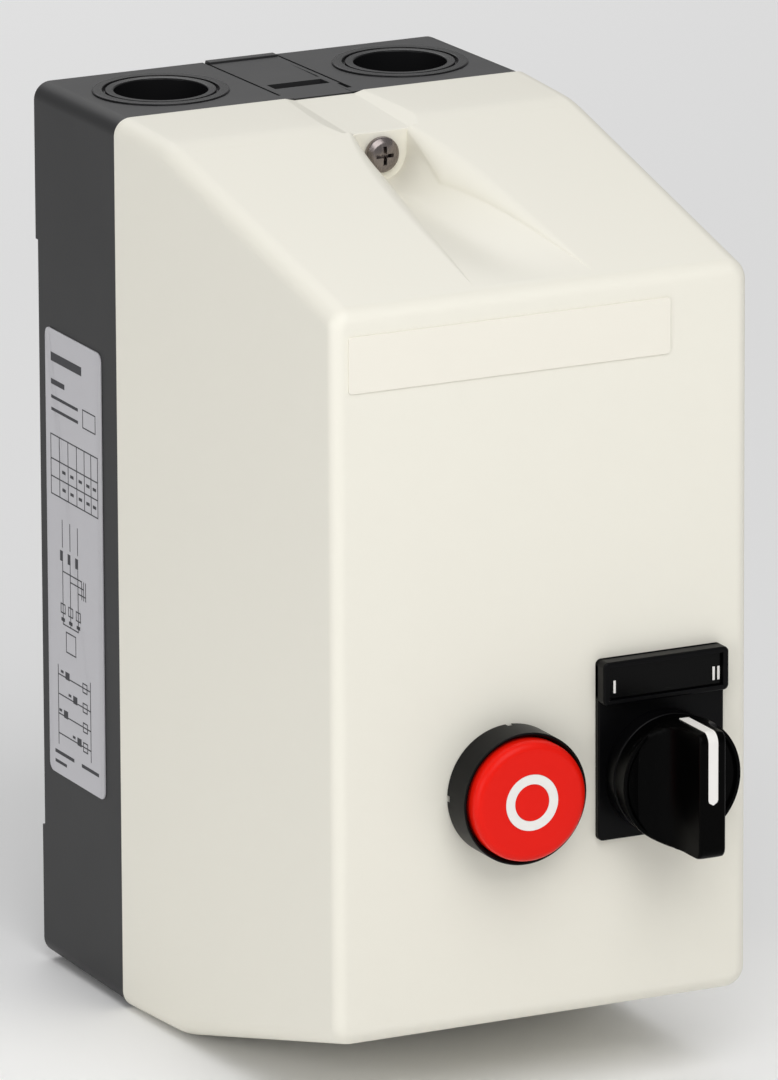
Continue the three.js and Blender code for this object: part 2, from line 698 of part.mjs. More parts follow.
const STOP_FACE = BODY_DEPTH + STOP_CAP_FRONT;
const STOP_CROWN = 1.9;
const STOP_STEM = 4.2;
const BARREL_REAR = BODY_DEPTH - 16;
const BARREL_WEB = 1.5;
const STEM_REAR = BARREL_REAR - 2;
const BEZEL_SEAT = BODY_DEPTH + CLEARANCE;
const BEZEL_WEB = 1.5;
const BEZEL_NOTCH = { width: 1.2, length: 1.4 };
const STOP_SKIRT = STOP_CAP_FRONT - CLEARANCE - BEZEL_WEB - STOP_TRAVEL - 0.4;
const PANEL_INNER = BODY_DEPTH - COVER_WALL;
const SEAL_GROOVE = PANEL_SEAL + 0.1;
const SEAL_SIDE_GAP = 0.15;

function stopBezel() {
  const front = BODY_DEPTH + BEZEL_DEPTH + CLEARANCE;
  const mouth = STOP_CAP / 2 + 0.25;
  const profile = [
    [STOP_STEM + 0.4, BARREL_REAR],
    [BARREL / 2, BARREL_REAR],
    [BARREL / 2, BEZEL_SEAT],
    [BEZEL / 2 - 0.3, BEZEL_SEAT],
    [BEZEL / 2, BEZEL_SEAT + 0.5],
    [BEZEL / 2, front - 0.9],
    [BEZEL / 2 - 0.5, front],
    [mouth, front - 0.4],
    [mouth, BEZEL_SEAT + BEZEL_WEB],
    [BARREL_BORE, BEZEL_SEAT + BEZEL_WEB],
    [BARREL_BORE, BARREL_REAR + BARREL_WEB],
    [STOP_STEM + 0.4, BARREL_REAR + BARREL_WEB],
  ];
  let bezel = turned(profile, STOP_X, CONTROL_Z, 32);
  bezel = cut(bezel, panelSealRing(STOP_X, SEAL_SIDE_GAP));

  // Four small grip notches at the rear edge.
  for (const [alongX, alongZ] of [[1, 0], [0, 1], [-1, 0], [0, -1]]) {
    const x = STOP_X + (alongX * BEZEL) / 2;
    const z = CONTROL_Z + (alongZ * BEZEL) / 2;
    const [rear, front] = [BEZEL_SEAT - 1, BEZEL_SEAT + BEZEL_NOTCH.length];
    bezel = cut(bezel, block(x, z, BEZEL_NOTCH.width, BEZEL_NOTCH.width, rear, front));
  }
  return bezel;
}

// The flat ring that seals a control to the panel; grow widens it into the groove that holds it.
function panelSealRing(x, grow) {
  const rear = BODY_DEPTH + FACE_GAP;
  const front = rear + (grow ? SEAL_GROOVE : PANEL_SEAL);
  const [inner, outer] = [PANEL_HOLE / 2 + 0.5 - grow, PANEL_HOLE / 2 + 2.4 + grow];
  return tube(inner, outer, rear, front, x, CONTROL_Z);
}

function panelNut(x) {
  const front = PANEL_INNER - NUT_GAP;
  const rear = front - PANEL_NUT_THICKNESS;
  const radius = PANEL_NUT / 2;
  let nut = tube(BARREL / 2 + NUT_GAP, radius, rear, front, x, CONTROL_Z);
  for (let i = 0; i < NUT_GROOVES; i++) {
    const angle = (2 * Math.PI * (i + 0.5)) / NUT_GROOVES;
    const [u, v] = [radius * Math.cos(angle), radius * Math.sin(angle)];
    nut = cut(nut, rod(1.1, rear - 1, front - 2, x + u, CONTROL_Z + v, 8));
  }
  return nut;
}

function stopCap() {
  const radius = STOP_CAP / 2;
  const edge = 1.3;
  const profile = [
    [0, STEM_REAR],
    [STOP_STEM, STEM_REAR],
    [STOP_STEM, STOP_FACE - STOP_CROWN],
    [radius - 1.6, STOP_FACE - STOP_CROWN],
    [radius - 1.6, STOP_FACE - STOP_SKIRT],
    [radius, STOP_FACE - STOP_SKIRT],
    [radius, STOP_FACE - edge],
    [radius - edge * 0.13, STOP_FACE - edge * 0.5],
    [radius - edge * 0.5, STOP_FACE - edge * 0.13],
    [radius - edge, STOP_FACE],
    [0, STOP_FACE],
  ];
  return cut(turned(profile, STOP_X, CONTROL_Z, 32), stopRing(FACE_GAP, 1));
}

// The ring inlaid in the cap; grow widens it into its groove and rise lifts its front.
function stopRing(grow, rise) {
  const [inner, outer] = [STOP_RING_INNER / 2 - grow, STOP_RING_OUTER / 2 + grow];
  const rear = STOP_FACE - STOP_RING_INLAY - grow;
  return tube(inner, outer, rear, STOP_FACE + rise, STOP_X, CONTROL_Z);
}

// ---------------------------------------------------------------- selector switch

const PLATE_REAR = BODY_DEPTH + FACE_GAP;
const PLATE_FRONT = PLATE_REAR + HOLDER_PLATE;
const HOLDER_FRONT = PLATE_REAR + HOLDER_HEAD;
const HOLDER_BOTTOM = CONTROL_Z - HOLDER_DROP;
const HOLDER_TOP = HOLDER_BOTTOM + HOLDER_HEIGHT;
const HEAD_BOTTOM = HOLDER_TOP - HOLDER_HEAD_HEIGHT;
const LEGEND_Z = (HOLDER_TOP + HEAD_BOTTOM) / 2;
const LEGEND_RECESS = 1.5;
const COLLAR_FRONT = PLATE_FRONT + 4;
const RIM_FORWARD = BODY_DEPTH + HANDLE_RIM;
const GRIP_FRONT = RIM_FORWARD + HANDLE_GRIP;
const SELECTOR_REAR = BODY_DEPTH - 22;
const SHAFT_RADIUS = 6.5;

function legendHolder() {
  const [left, right] = [SELECTOR_X - HOLDER_WIDTH / 2, SELECTOR_X + HOLDER_WIDTH / 2];
  const plateShape = roundedRectangle(left, right, HOLDER_BOTTOM, HOLDER_TOP, 1);
  const headShape = roundedRectangle(left, right, HEAD_BOTTOM, HOLDER_TOP, 1);
  const plate = prismForward(plateShape, PLATE_REAR, PLATE_FRONT, 3);
  const head = prismForward(headShape, PLATE_REAR, HOLDER_FRONT, 3);
  const [width, height] = [LEGEND_WIDTH + CLEARANCE, LEGEND_HEIGHT + CLEARANCE];
  const floor = HOLDER_FRONT - LEGEND_RECESS;
  const recess = block(SELECTOR_X, LEGEND_Z, width, height, floor, HOLDER_FRONT + 1);
  const hole = rod(PANEL_HOLE / 2, BODY_DEPTH - 1, HOLDER_FRONT + 1, SELECTOR_X, CONTROL_Z, 24);
  return cut(join(plate, head), recess, hole, panelSealRing(SELECTOR_X, SEAL_SIDE_GAP));
}

function legendStrip() {
  const rear = HOLDER_FRONT - LEGEND_RECESS + FACE_GAP;
  return block(SELECTOR_X, LEGEND_Z, LEGEND_WIDTH, LEGEND_HEIGHT, rear, rear + 0.6);
}

function selectorCollar() {
  const bore = SHAFT_RADIUS + CLEARANCE;
  const flange = HANDLE_DIAMETER / 2 - 0.6;
  const seat = PLATE_FRONT + 0.1;
  const profile = [
    [bore, SELECTOR_REAR],
    [BARREL / 2, SELECTOR_REAR],
    [BARREL / 2, seat],
    [flange, seat],
    [flange, COLLAR_FRONT - 0.4],
    [flange - 0.4, COLLAR_FRONT],
    [bore, COLLAR_FRONT],
  ];
  return turned(profile, SELECTOR_X, CONTROL_Z, 32);
}

// Outline of the grip seen from above: a ridge whose flanks flare out into the disc.
function gripOutline() {
  const half = GRIP_WIDTH / 2;
  const root = HANDLE_DIAMETER / 2 - 1.5;
  const flare = 2.6;
  const steps = 8;
  const foot = RIM_FORWARD - 0.8;
  const side = Array.from({ length: steps + 1 }, (_, i) => {
    const rise = ((GRIP_FRONT - foot) * i) / steps;
    return [half + (root - half) * Math.exp(-rise / flare), foot + rise];
  });
  const mirrored = side.map(([x, f]) => [-x, f]).reverse();
  return polygon([...side, ...mirrored].map(([x, f]) => [SELECTOR_X + x, f]));
}

// The end profile of the grip, seen from the side, pushed out by grow.
function gripSide(grow) {
  const half = HANDLE_DIAMETER / 2 + grow;
  return roundedRectangle(
    RIM_FORWARD - 8, GRIP_FRONT + grow, CONTROL_Z - half, CONTROL_Z + half, 2.2 + grow);
}

// The pointer line runs up the end of the grip and down its ridge.
function markerBand(width, inner, outer, tail) {
  const [x0, x1] = [SELECTOR_X - width / 2, SELECTOR_X + width / 2];
  const across = (grow, x) => prismAcross(gripSide(grow), SELECTOR_X - x, SELECTOR_X + x, 4);
  const band = cut(across(outer, width / 2), across(inner, width));
  const foot = CONTROL_Z + HANDLE_DIAMETER / 2 - MARKER_LENGTH - tail;
  const rear = RIM_FORWARD + 0.6 - tail;
  return band.intersect(box(x0, x1, rear, GRIP_FRONT + 2, foot, foot + HANDLE_DIAMETER));
}

function selectorHandle() {
  const rim = HANDLE_DIAMETER / 2;
  const rear = COLLAR_FRONT + CLEARANCE;
  const shaftEnd = SELECTOR_REAR + CLEARANCE;
  const profile = [
    [0, shaftEnd],
    [SHAFT_RADIUS, shaftEnd],
    [SHAFT_RADIUS, rear],
    [rim - 0.7, rear],
    [rim - 0.45, rear + 0.6],
    [rim, RIM_FORWARD - 0.5],
    [rim - 0.3, RIM_FORWARD],
    [rim - 0.9, RIM_FORWARD - 0.2],
    [0, RIM_FORWARD - 0.6],
  ];
  const knob = turned(profile, SELECTOR_X, CONTROL_Z, 32);
  const round = rod(rim, RIM_FORWARD - 2, GRIP_FRONT, SELECTOR_X, CONTROL_Z, 32);
  const grip = prismUp(gripOutline(), CONTROL_Z - rim - 2, CONTROL_Z + rim + 2)
    .intersect(round)
    .intersect(prismAcross(gripSide(0), SELECTOR_X - 30, SELECTOR_X + 30));
  return cut(join(knob, grip), markerBand(MARKER_WIDTH + 2 * FACE_GAP, -0.5, 3, FACE_GAP));
}

const selectorMarker = () => markerBand(MARKER_WIDTH, -0.45, 0.1, 0);

const BLOCK_WIDTH = 9.4;
const BLOCK_HEIGHT = 40;
const BLOCK_DEPTH = 24;
const BLOCK_FRONT = SELECTOR_REAR - 2;
const BLOCK_OFFSET = 5;
const PLUNGER_RADIUS = 1.6;

// A yoke clamps on the rear of the selector's barrel and holds a contact block on each side.
function selectorYoke() {
  const outer = 2 * BLOCK_OFFSET + BLOCK_WIDTH + 2 * CLEARANCE;
  const front = SELECTOR_REAR + 10;
  let yoke = block(SELECTOR_X, CONTROL_Z, BARREL + 4.2, BARREL + 8.2, SELECTOR_REAR + 3, front);
  for (const side of [-1, 1]) {
    const x = SELECTOR_X + side * (outer / 2 + 1.5);
    yoke = join(yoke, block(x, CONTROL_Z, 3, 14, BLOCK_FRONT - 8, front));
  }
  return cut(yoke, rod(BARREL / 2 + NUT_GAP, BLOCK_FRONT, front + 1, SELECTOR_X, CONTROL_Z, 32));
}

function contactBlock(side) {
  const x = SELECTOR_X + side * BLOCK_OFFSET;
  const rear = BLOCK_FRONT - BLOCK_DEPTH;
  let body = block(x, CONTROL_Z, BLOCK_WIDTH, BLOCK_HEIGHT, rear, BLOCK_FRONT);
  for (const up of [-1, 1]) {
    const z = CONTROL_Z + up * (BLOCK_HEIGHT / 2 - 4.5);
    body = cut(
      body,
      rod(2.6, BLOCK_FRONT - 6, BLOCK_FRONT + 1, x, z),
      block(x, CONTROL_Z + (up * BLOCK_HEIGHT) / 2, 5, 5, rear + 5, rear + 11),
    );
  }
  return cut(body, rod(PLUNGER_RADIUS + CLEARANCE, rear + 6, BLOCK_FRONT + 1, x, CONTROL_Z));
}

function contactPlunger(side) {
  const x = SELECTOR_X + side * BLOCK_OFFSET;
  return rod(PLUNGER_RADIUS, BLOCK_FRONT - 12, SELECTOR_REAR - CLEARANCE, x, CONTROL_Z);
}

// ---------------------------------------------------------------- mounting rail

const RAIL_REAR = RAIL_STAND_OFF + 2 * FACE_GAP;

function railSection() {
  const sheet = RAIL_SHEET;
  const web = RAIL_HEIGHT / 2 - 4;
  const half = RAIL_HEIGHT / 2;
  const rear = RAIL_REAR;
  const front = rear + RAIL_DEPTH;
  const lower = [
    [rear, -web],
    [front - sheet, -web],
    [front - sheet, -half],
    [front, -half],
    [front, -web + sheet],
    [rear + sheet, -web + sheet],
  ];
  const upper = lower.map(([f, z]) => [f, -z]).reverse();
  return polygon([...lower, ...upper].map(([f, z]) => [f, RAIL_Z + z]));
}

function mountingRail() {
  const holes = [-1, 1].map((side) =>
    rod(2.3, RAIL_STAND_OFF - 1, RAIL_STAND_OFF + 3, side * RAIL_SCREW_X, RAIL_Z, 20));
  return cut(prismAcross(railSection(), -RAIL_LENGTH / 2, RAIL_LENGTH / 2), ...holes);
}

function railScrew(side) {
  const x = side * RAIL_SCREW_X;
  const seat = RAIL_REAR + RAIL_SHEET + FACE_GAP;
  const end = BASE_FLOOR + 1.2;
  const shank = RAIL_SCREW_HOLE - 0.2;
  const face = seat + 2.2;
  const head = 3.4;
  const profile = [
    [0, end],
    [shank, end],
    [shank, seat],
    [head, seat],
    [head, face - 1],
    [head - 1, face],
    [0, face],
  ];
  const slots = [[4.2, 0.8], [0.8, 4.2]].map(([width, height]) =>
    block(x, RAIL_Z, width, height, face - 1, face + 1));
  return cut(turned(profile, x, RAIL_Z, 20), ...slots);
}

// ---------------------------------------------------------------- contactors

const CONTACTOR_REAR = RAIL_STAND_OFF + 4;
const CONTACTOR_FRONT = CONTACTOR_REAR + CONTACTOR_DEPTH;
const STEP_FRONT = CONTACTOR_FRONT - TERMINAL_STEP;
const RAIL_SLOT_FRONT = RAIL_REAR + RAIL_DEPTH + CLEARANCE;
const POLES = [-1.5, -0.5, 0.5, 1.5].map((share) => share * POLE_PITCH);
const TERMINAL_Z = CONTACTOR_HEIGHT / 2 - 6;
const CAVITY = { x: 17, z: 12, rear: RAIL_SLOT_FRONT + 1.6, front: CONTACTOR_FRONT - 3 };
const CORE = { x: 10, z: 4, leg: 4, web: 4, depth: 13.7 };
const CORE_REAR = CAVITY.rear + 0.2;
const CORE_FRONT = CORE_REAR + CORE.depth;
const COIL_FRONT = CORE_FRONT - 3;
const ARMATURE_REAR = CORE_FRONT + ARMATURE_TRAVEL + CLEARANCE;
const ARMATURE_FRONT = ARMATURE_REAR + 3;
const TAB = { x: 4.4, z: 3.4 };
const ENTRY = { rear: STEP_FRONT - 14, front: STEP_FRONT - 2, width: 5 };

function contactorBody(x) {
  const half = CONTACTOR_HEIGHT / 2;
  const step = half - 14;
  const side = polygon([
    [CONTACTOR_REAR, RAIL_Z - half],
    [STEP_FRONT, RAIL_Z - half],
    [STEP_FRONT, RAIL_Z - step],
    [CONTACTOR_FRONT, RAIL_Z - step + 1.5],
    [CONTACTOR_FRONT, RAIL_Z + step - 1.5],
    [STEP_FRONT, RAIL_Z + step],
    [STEP_FRONT, RAIL_Z + half],
    [CONTACTOR_REAR, RAIL_Z + half],
  ]);
  let body = prismAcross(side, x - CONTACTOR_WIDTH / 2, x + CONTACTOR_WIDTH / 2);
  const slotHeight = RAIL_HEIGHT + 2 * CLEARANCE;
  body = cut(
    body,
    block(x, RAIL_Z, CONTACTOR_WIDTH + 2, slotHeight, CONTACTOR_REAR - 1, RAIL_SLOT_FRONT),
    block(x, RAIL_Z, 2 * CAVITY.x, 2 * CAVITY.z, CAVITY.rear, CAVITY.front),
    block(x, RAIL_Z, 2 * TAB.x + 1, 2 * TAB.z + 1, CAVITY.front - 1, CONTACTOR_FRONT + 1),
  );
  for (const pole of POLES)
    for (const up of [-1, 1]) {
      const z = RAIL_Z + up * TERMINAL_Z;
      const edge = RAIL_Z + up * half;
      const entry = block(x + pole, edge - up * 2, ENTRY.width, 5, ENTRY.rear, ENTRY.front);
      body = cut(body, rod(2.9, ENTRY.front - 2, STEP_FRONT + 1, x + pole, z, 12), entry);
    }
  return body;
}

function magnetCore(x) {
  const whole = block(x, RAIL_Z, 2 * CORE.x, 2 * CORE.z, CORE_REAR, CORE_FRONT);
  const gap = CORE.x - CORE.leg - CORE.leg / 2;
  const windows = [-1, 1].map((side) =>
    block(x + side * (CORE.leg / 2 + gap / 2), RAIL_Z, gap, 2 * CORE.z + 2,
      CORE_REAR + CORE.web, CORE_FRONT + 1));
  return cut(whole, ...windows);
}

function magnetCoil(x) {
  const rear = CORE_REAR + CORE.web + CLEARANCE;
  const gap = 2 * CLEARANCE;
  const hole = block(x, RAIL_Z, CORE.leg + gap, 2 * CORE.z + gap, rear - 1, COIL_FRONT + 1);
  const width = 2 * (CORE.x - CORE.leg) - gap;
  return cut(block(x, RAIL_Z, width, 2 * CORE.z + 9, rear, COIL_FRONT), hole);
}

const armature = (x) =>
  block(x, RAIL_Z, 2 * CORE.x, 2 * CORE.z, ARMATURE_REAR, ARMATURE_FRONT);

// The carrier holds the armature and the bridging contacts, and shows as a tab in the front window.
function contactCarrier(x) {
  const rear = ARMATURE_FRONT + 0.1;
  const shoulder = CAVITY.front - 5;
  let carrier = join(
    block(x, RAIL_Z, 24, 16, rear, rear + 6),
    block(x, RAIL_Z, 12, 14, rear + 5, shoulder),
    block(x, RAIL_Z, 2 * TAB.x, 2 * TAB.z, shoulder - 1, CONTACTOR_FRONT - 0.4),
  );
  for (const side of [-1, 0, 1]) {
    const bridge = block(x + side * 4, RAIL_Z, 2.4, 21, rear + 10, rear + 11.5);
    carrier = join(carrier, bridge);
  }
  return carrier;
}

const armatureSpring = (x) =>
  spring(CORE.x - CORE.leg - 0.8, 0.4, COIL_FRONT + 0.2, ARMATURE_REAR - 0.2, x, RAIL_Z, 2.5);

const CONTACTORS = [
  ["forward", -CONTACTOR_SPACING / 2],
  ["reverse", CONTACTOR_SPACING / 2],
];

// A thin interlock stands between the contactors, with a peg towards each carrier.
function interlock() {
  const gap = CONTACTOR_SPACING - CONTACTOR_WIDTH - 2 * CLEARANCE;
  return join(
    block(0, RAIL_Z, gap, 26, RAIL_SLOT_FRONT + 6, STEP_FRONT - 8),
    block(0, RAIL_Z, gap, 14, STEP_FRONT - 9, CONTACTOR_FRONT - 1),
  );
}

// A moulded strip of links crosses both contactors, with a pin in each of three poles; up is 1 or -1.
function linkStrip(up) {
  const edge = RAIL_Z + (up * CONTACTOR_HEIGHT) / 2;
  const width = CONTACTOR_SPACING + 3 * POLE_PITCH + 6;
  const rear = ENTRY.rear - 6;
  const bar = block(-POLE_PITCH / 4, edge + up * 1.6, width, 2.4, rear, ENTRY.rear + 5);
  const pins = CONTACTORS.flatMap(([, x]) =>
    POLES.slice(0, 3).map((pole) =>
      block(x + pole, edge - up * 0.8, 2.4, 6.4, ENTRY.rear + 1.2, ENTRY.rear + 3.4)));
  return join(bar, ...pins);
}

// ---------------------------------------------------------------- overload relay

const RELAY_X = CONTACTORS[0][1];
const CONTACTOR_BOTTOM = RAIL_Z - CONTACTOR_HEIGHT / 2;
const RELAY_TOP = CONTACTOR_BOTTOM - 4.4;
const RELAY_BOTTOM = RELAY_TOP - RELAY_HEIGHT;
const RELAY_MIDDLE = (RELAY_TOP + RELAY_BOTTOM) / 2;
const RELAY_REAR = CONTACTOR_REAR + 7;
const RELAY_FRONT = RELAY_REAR + RELAY_DEPTH;
const RELAY_STEP = RELAY_FRONT - 20;
const RESET_RADIUS = 3.2;
const RESET_OUT = STOP_TRAVEL + 0.4;
const RESET_DEEP = 6;
const DIAL = { x: RELAY_X - 8, z: CONTROL_Z + 2, radius: 6, depth: 2.6 };

function relayBody() {
  const side = polygon([
    [RELAY_REAR, RELAY_BOTTOM],
    [RELAY_STEP, RELAY_BOTTOM],
    [RELAY_STEP, RELAY_BOTTOM + 15],
    [RELAY_FRONT, RELAY_BOTTOM + 17],
    [RELAY_FRONT, RELAY_TOP - 12],
    [RELAY_STEP, RELAY_TOP - 9],
    [RELAY_STEP, RELAY_TOP],
    [RELAY_REAR, RELAY_TOP],
  ]);
  let body = prismAcross(side, RELAY_X - RELAY_WIDTH / 2, RELAY_X + RELAY_WIDTH / 2);
  for (const pole of POLES.slice(0, 3)) {
    const x = RELAY_X + pole;
    const [rear, front] = [ENTRY.front - 3.6, ENTRY.front - 1.4];
    body = join(body, box(x - 1.2, x + 1.2, rear, front, RELAY_TOP - 1, CONTACTOR_BOTTOM + 4));
  }
  for (const pole of POLES) {
    const x = RELAY_X + pole;
    const screw = rod(2.9, RELAY_STEP - 4, RELAY_STEP + 1, x, RELAY_BOTTOM + 7, 12);
    const entry = block(x, RELAY_BOTTOM, ENTRY.width, 8, RELAY_STEP - 12, RELAY_STEP - 5);
    body = cut(body, screw, entry);
  }
  const resetRear = RELAY_FRONT - RESET_DEEP - STOP_TRAVEL - 2 * CLEARANCE;
  const dialRear = RELAY_FRONT - DIAL.depth;
  return cut(
    body,
    rod(RESET_RADIUS + CLEARANCE, resetRear, RELAY_FRONT + 1, STOP_X, CONTROL_Z, 24),
    rod(DIAL.radius + CLEARANCE, dialRear, RELAY_FRONT + 1, DIAL.x, DIAL.z, 28),
  );
}

const resetButton = () =>
  rod(RESET_RADIUS, RELAY_FRONT - RESET_DEEP, RELAY_FRONT + RESET_OUT, STOP_X, CONTROL_Z, 24);

function settingDial() {
  const front = RELAY_FRONT + 1.2;
  const dial = rod(DIAL.radius, RELAY_FRONT - DIAL.depth + 0.2, front, DIAL.x, DIAL.z, 28);
  return cut(
    dial,
    block(DIAL.x, DIAL.z, 1.2, 8, front - 1.2, front + 1),
    block(DIAL.x, DIAL.z + DIAL.radius, 1, 3, front - 0.8, front + 1),
  );
}

// The push rod carries the stop button's stroke to the relay's stop and reset button.
function pushRod() {
  const tip = RELAY_FRONT + RESET_OUT + CLEARANCE;
  const head = STEM_REAR - CLEARANCE;
  const radius = 2.4;
  const flare = 4;
  const profile = [
    [0, tip],
    [radius, tip],
    [radius, head - 3],
    [flare, head - 2.4],
    [flare, head],
    [0, head],
  ];
  return turned(profile, STOP_X, CONTROL_Z, 20);
}

function stopSpring() {
  const [rear, front] = [BARREL_REAR + BARREL_WEB + 0.2, STOP_FACE - STOP_CROWN - 0.2];
  return spring((STOP_STEM + BARREL_BORE) / 2, 0.5, rear, front, STOP_X, CONTROL_Z, 6);
}

// ---------------------------------------------------------------- earth terminal

const EARTH = {
  x: WALL_HOLE_X - 8,
  z: 22 - WALL_HOLE_Z,
  width: 13,
  rear: BASE_FLOOR + 0.1,
  front: BASE_FLOOR + 11.1,
};

function earthTerminal() {
  const { x, z, width, rear, front } = EARTH;
  return cut(
    block(x, z, width, 9, rear, front),
    rod(2.2, rear + 2.5, front + 1, x, z),
    block(x - width / 2, z, 5, 4.2, rear + 3, rear + 7.2),
  );
}

function earthScrew() {
  const { x, z, front } = EARTH;
  const seat = front + 0.1;
  const shank = rod(1.9, seat - 7, seat + 1, x, z, 20);
  const head = rod(3.8, seat, seat + 2, x, z, 20);
  return cut(join(shank, head), block(x, z, 5.4, 1, seat + 1, seat + 3));
}

// ---------------------------------------------------------------- assembly

add("base_housing", "charcoal", baseHousing());
add("rating_label", "label", ratingLabel());
add("cover_screw_insert", "brass", screwInsert());
add("mounting_rail", "steel", mountingRail());
add("rail_screw_left", "steel", railScrew(-1));
add("rail_screw_right", "steel", railScrew(1));

for (const [direction, x] of CONTACTORS) {
  add(direction + "_contactor_body", "device", contactorBody(x));
  add(direction + "_magnet_core", "steel", magnetCore(x));
  add(direction + "_magnet_coil", "copper", magnetCoil(x));
  add(direction + "_armature", "steel", armature(x));
  add(direction + "_contact_carrier", "carrier", contactCarrier(x));
  add(direction + "_return_spring", "steel", armatureSpring(x));
}
add("mechanical_interlock", "carrier", interlock());
add("line_link_strip", "device", linkStrip(1));
add("load_link_strip", "device", linkStrip(-1));
add("overload_relay_body", "device", relayBody());
add("relay_setting_dial", "carrier", settingDial());
add("relay_reset_button", "red", resetButton());
add("earth_terminal", "brass", earthTerminal());
add("earth_terminal_screw", "steel", earthScrew());

add("front_cover", "ivory", frontCover());
add("cover_seal", "rubber", coverSeal());
add("cover_screw", "steel", coverScrew());
add("front_nameplate", "ivory", frontNameplate());

add("stop_bezel", "black", stopBezel());
add("stop_panel_seal", "rubber", panelSealRing(STOP_X, 0));
add("stop_panel_nut", "black", panelNut(STOP_X));
add("stop_button_cap", "red", stopCap());
add("stop_button_ring", "white", stopRing(0, FACE_GAP));
add("stop_push_rod", "black", pushRod());
add("stop_return_spring", "steel", stopSpring());

add("selector_legend_holder", "black", legendHolder());
add("selector_legend_strip", "black", legendStrip());
add("selector_panel_seal", "rubber", panelSealRing(SELECTOR_X, 0));
add("selector_collar", "black", selectorCollar());
add("selector_panel_nut", "black", panelNut(SELECTOR_X));
add("selector_handle", "black", selectorHandle());
add("selector_marker", "white", selectorMarker());
add("selector_yoke", "black", selectorYoke());
for (const [name, side] of [["left", -1], ["right", 1]]) {
  add("contact_block_" + name, "device", contactBlock(side));
  add("contact_plunger_" + name, "carrier", contactPlunger(side));
}

export default starter;
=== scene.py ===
"""Looks for an enclosed reversing motor starter: a dark moulded base, an ivory cover with a stop
button and a two-way selector, and the contactors and overload relay inside.

Sizes are in millimetres. x is to the right seen from the front, z is up, and forward is the distance
from the wall, which is the plane y = 0."""

import math

import bmesh
import bpy
from bpy.props import FloatProperty, FloatVectorProperty, IntProperty, PointerProperty
from mathutils import Matrix, Vector


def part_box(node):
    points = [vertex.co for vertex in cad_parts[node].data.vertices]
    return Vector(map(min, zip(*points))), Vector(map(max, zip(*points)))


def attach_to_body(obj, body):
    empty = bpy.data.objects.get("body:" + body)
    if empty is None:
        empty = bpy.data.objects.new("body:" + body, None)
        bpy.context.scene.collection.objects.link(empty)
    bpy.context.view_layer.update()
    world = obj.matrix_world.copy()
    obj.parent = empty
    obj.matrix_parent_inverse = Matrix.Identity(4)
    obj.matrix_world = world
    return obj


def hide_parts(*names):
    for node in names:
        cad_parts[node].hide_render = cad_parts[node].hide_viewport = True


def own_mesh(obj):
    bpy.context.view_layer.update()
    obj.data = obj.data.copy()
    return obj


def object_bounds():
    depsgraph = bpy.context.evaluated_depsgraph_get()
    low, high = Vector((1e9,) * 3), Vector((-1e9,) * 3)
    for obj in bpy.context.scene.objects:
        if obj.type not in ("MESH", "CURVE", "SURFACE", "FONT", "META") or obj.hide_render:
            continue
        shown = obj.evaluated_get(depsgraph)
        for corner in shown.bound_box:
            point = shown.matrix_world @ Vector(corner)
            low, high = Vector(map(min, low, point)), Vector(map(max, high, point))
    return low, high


bl_info = {
    "name": "Enclosed motor starter",
    "version": (1, 0, 0),
    "blender": (4, 5, 0),
    "location": "3D View > Sidebar > Starter",
    "description": "Builds the detailed pieces of an enclosed reversing motor starter",
    "category": "Add Mesh",
}

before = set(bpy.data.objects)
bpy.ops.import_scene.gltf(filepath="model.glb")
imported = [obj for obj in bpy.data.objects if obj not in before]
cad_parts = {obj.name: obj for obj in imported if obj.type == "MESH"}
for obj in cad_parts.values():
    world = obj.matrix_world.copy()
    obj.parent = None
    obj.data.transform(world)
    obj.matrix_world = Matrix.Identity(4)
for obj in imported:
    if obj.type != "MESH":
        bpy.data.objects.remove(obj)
CAD_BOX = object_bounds()
MM = 0.001

# ------------------------------------------------------------------ sizes shared by several pieces

BASE_REAR_HALF = (49.65, 99.15)
BASE_FRONT_HALF = (50.1, 99.7)
BASE_DEPTH = 42.0
BASE_WALL = 2.8
BASE_FLOOR = 4.0
COVER_HALF = (50.4, 100.0)
COVER_REAR = 42.15
COVER_WALL = 2.6
CREASE_HALF = 99.1
FRONT_HALF = (49.2, 80.0)
BODY_DEPTH = 146.0
TOP_CREASE = 65.2
BOTTOM_CREASE = 69.0
SCREW_Z = 92.5
POCKET_WALL = 69.6
TROUGH_FRONT = 141.8
TROUGH_HALF = (7.6, 14.3)
TROUGH_GROWTH = 18.0
TROUGH_SOFTNESS = 0.6
LIP_GROWTH = 0.27
LIP_POINTS = 7
BOWL_POINTS = 14
CHANNEL_REAR = 41.0
CHANNEL_HALF = 7.2
CHANNEL_WALL = 2.0
CHANNEL_DEPTH = (0.5, 0.6)
COVER_LIP = 1.5
CONTROL_Z = -28.6
STOP_X = -8.5
SELECTOR_X = 27.4
RAIL_Z = 32.0
CONTACTOR_X = {"forward": -23.7, "reverse": 23.7}
POLES = (-16.5, -5.5, 5.5, 16.5)
KNOCKOUT_X = 29.0
WALL_HOLE_X = 38.0
WALL_HOLE_Z = 80.0
FOOT_STEP = 1.2
PANEL_BORE = 11.15
SEAL_BAND = (146.05, 146.75)


def mix(a, b, share):
    return a + (b - a) * share


def linear(red, green, blue):
    """A display colour, 0 to 255, as the linear colour that shaders use."""
    def one(value):
        c = value / 255
        return c / 12.92 if c <= 0.04045 else ((c + 0.055) / 1.055) ** 2.4

    return (one(red), one(green), one(blue), 1.0)


# ------------------------------------------------------------------ settings


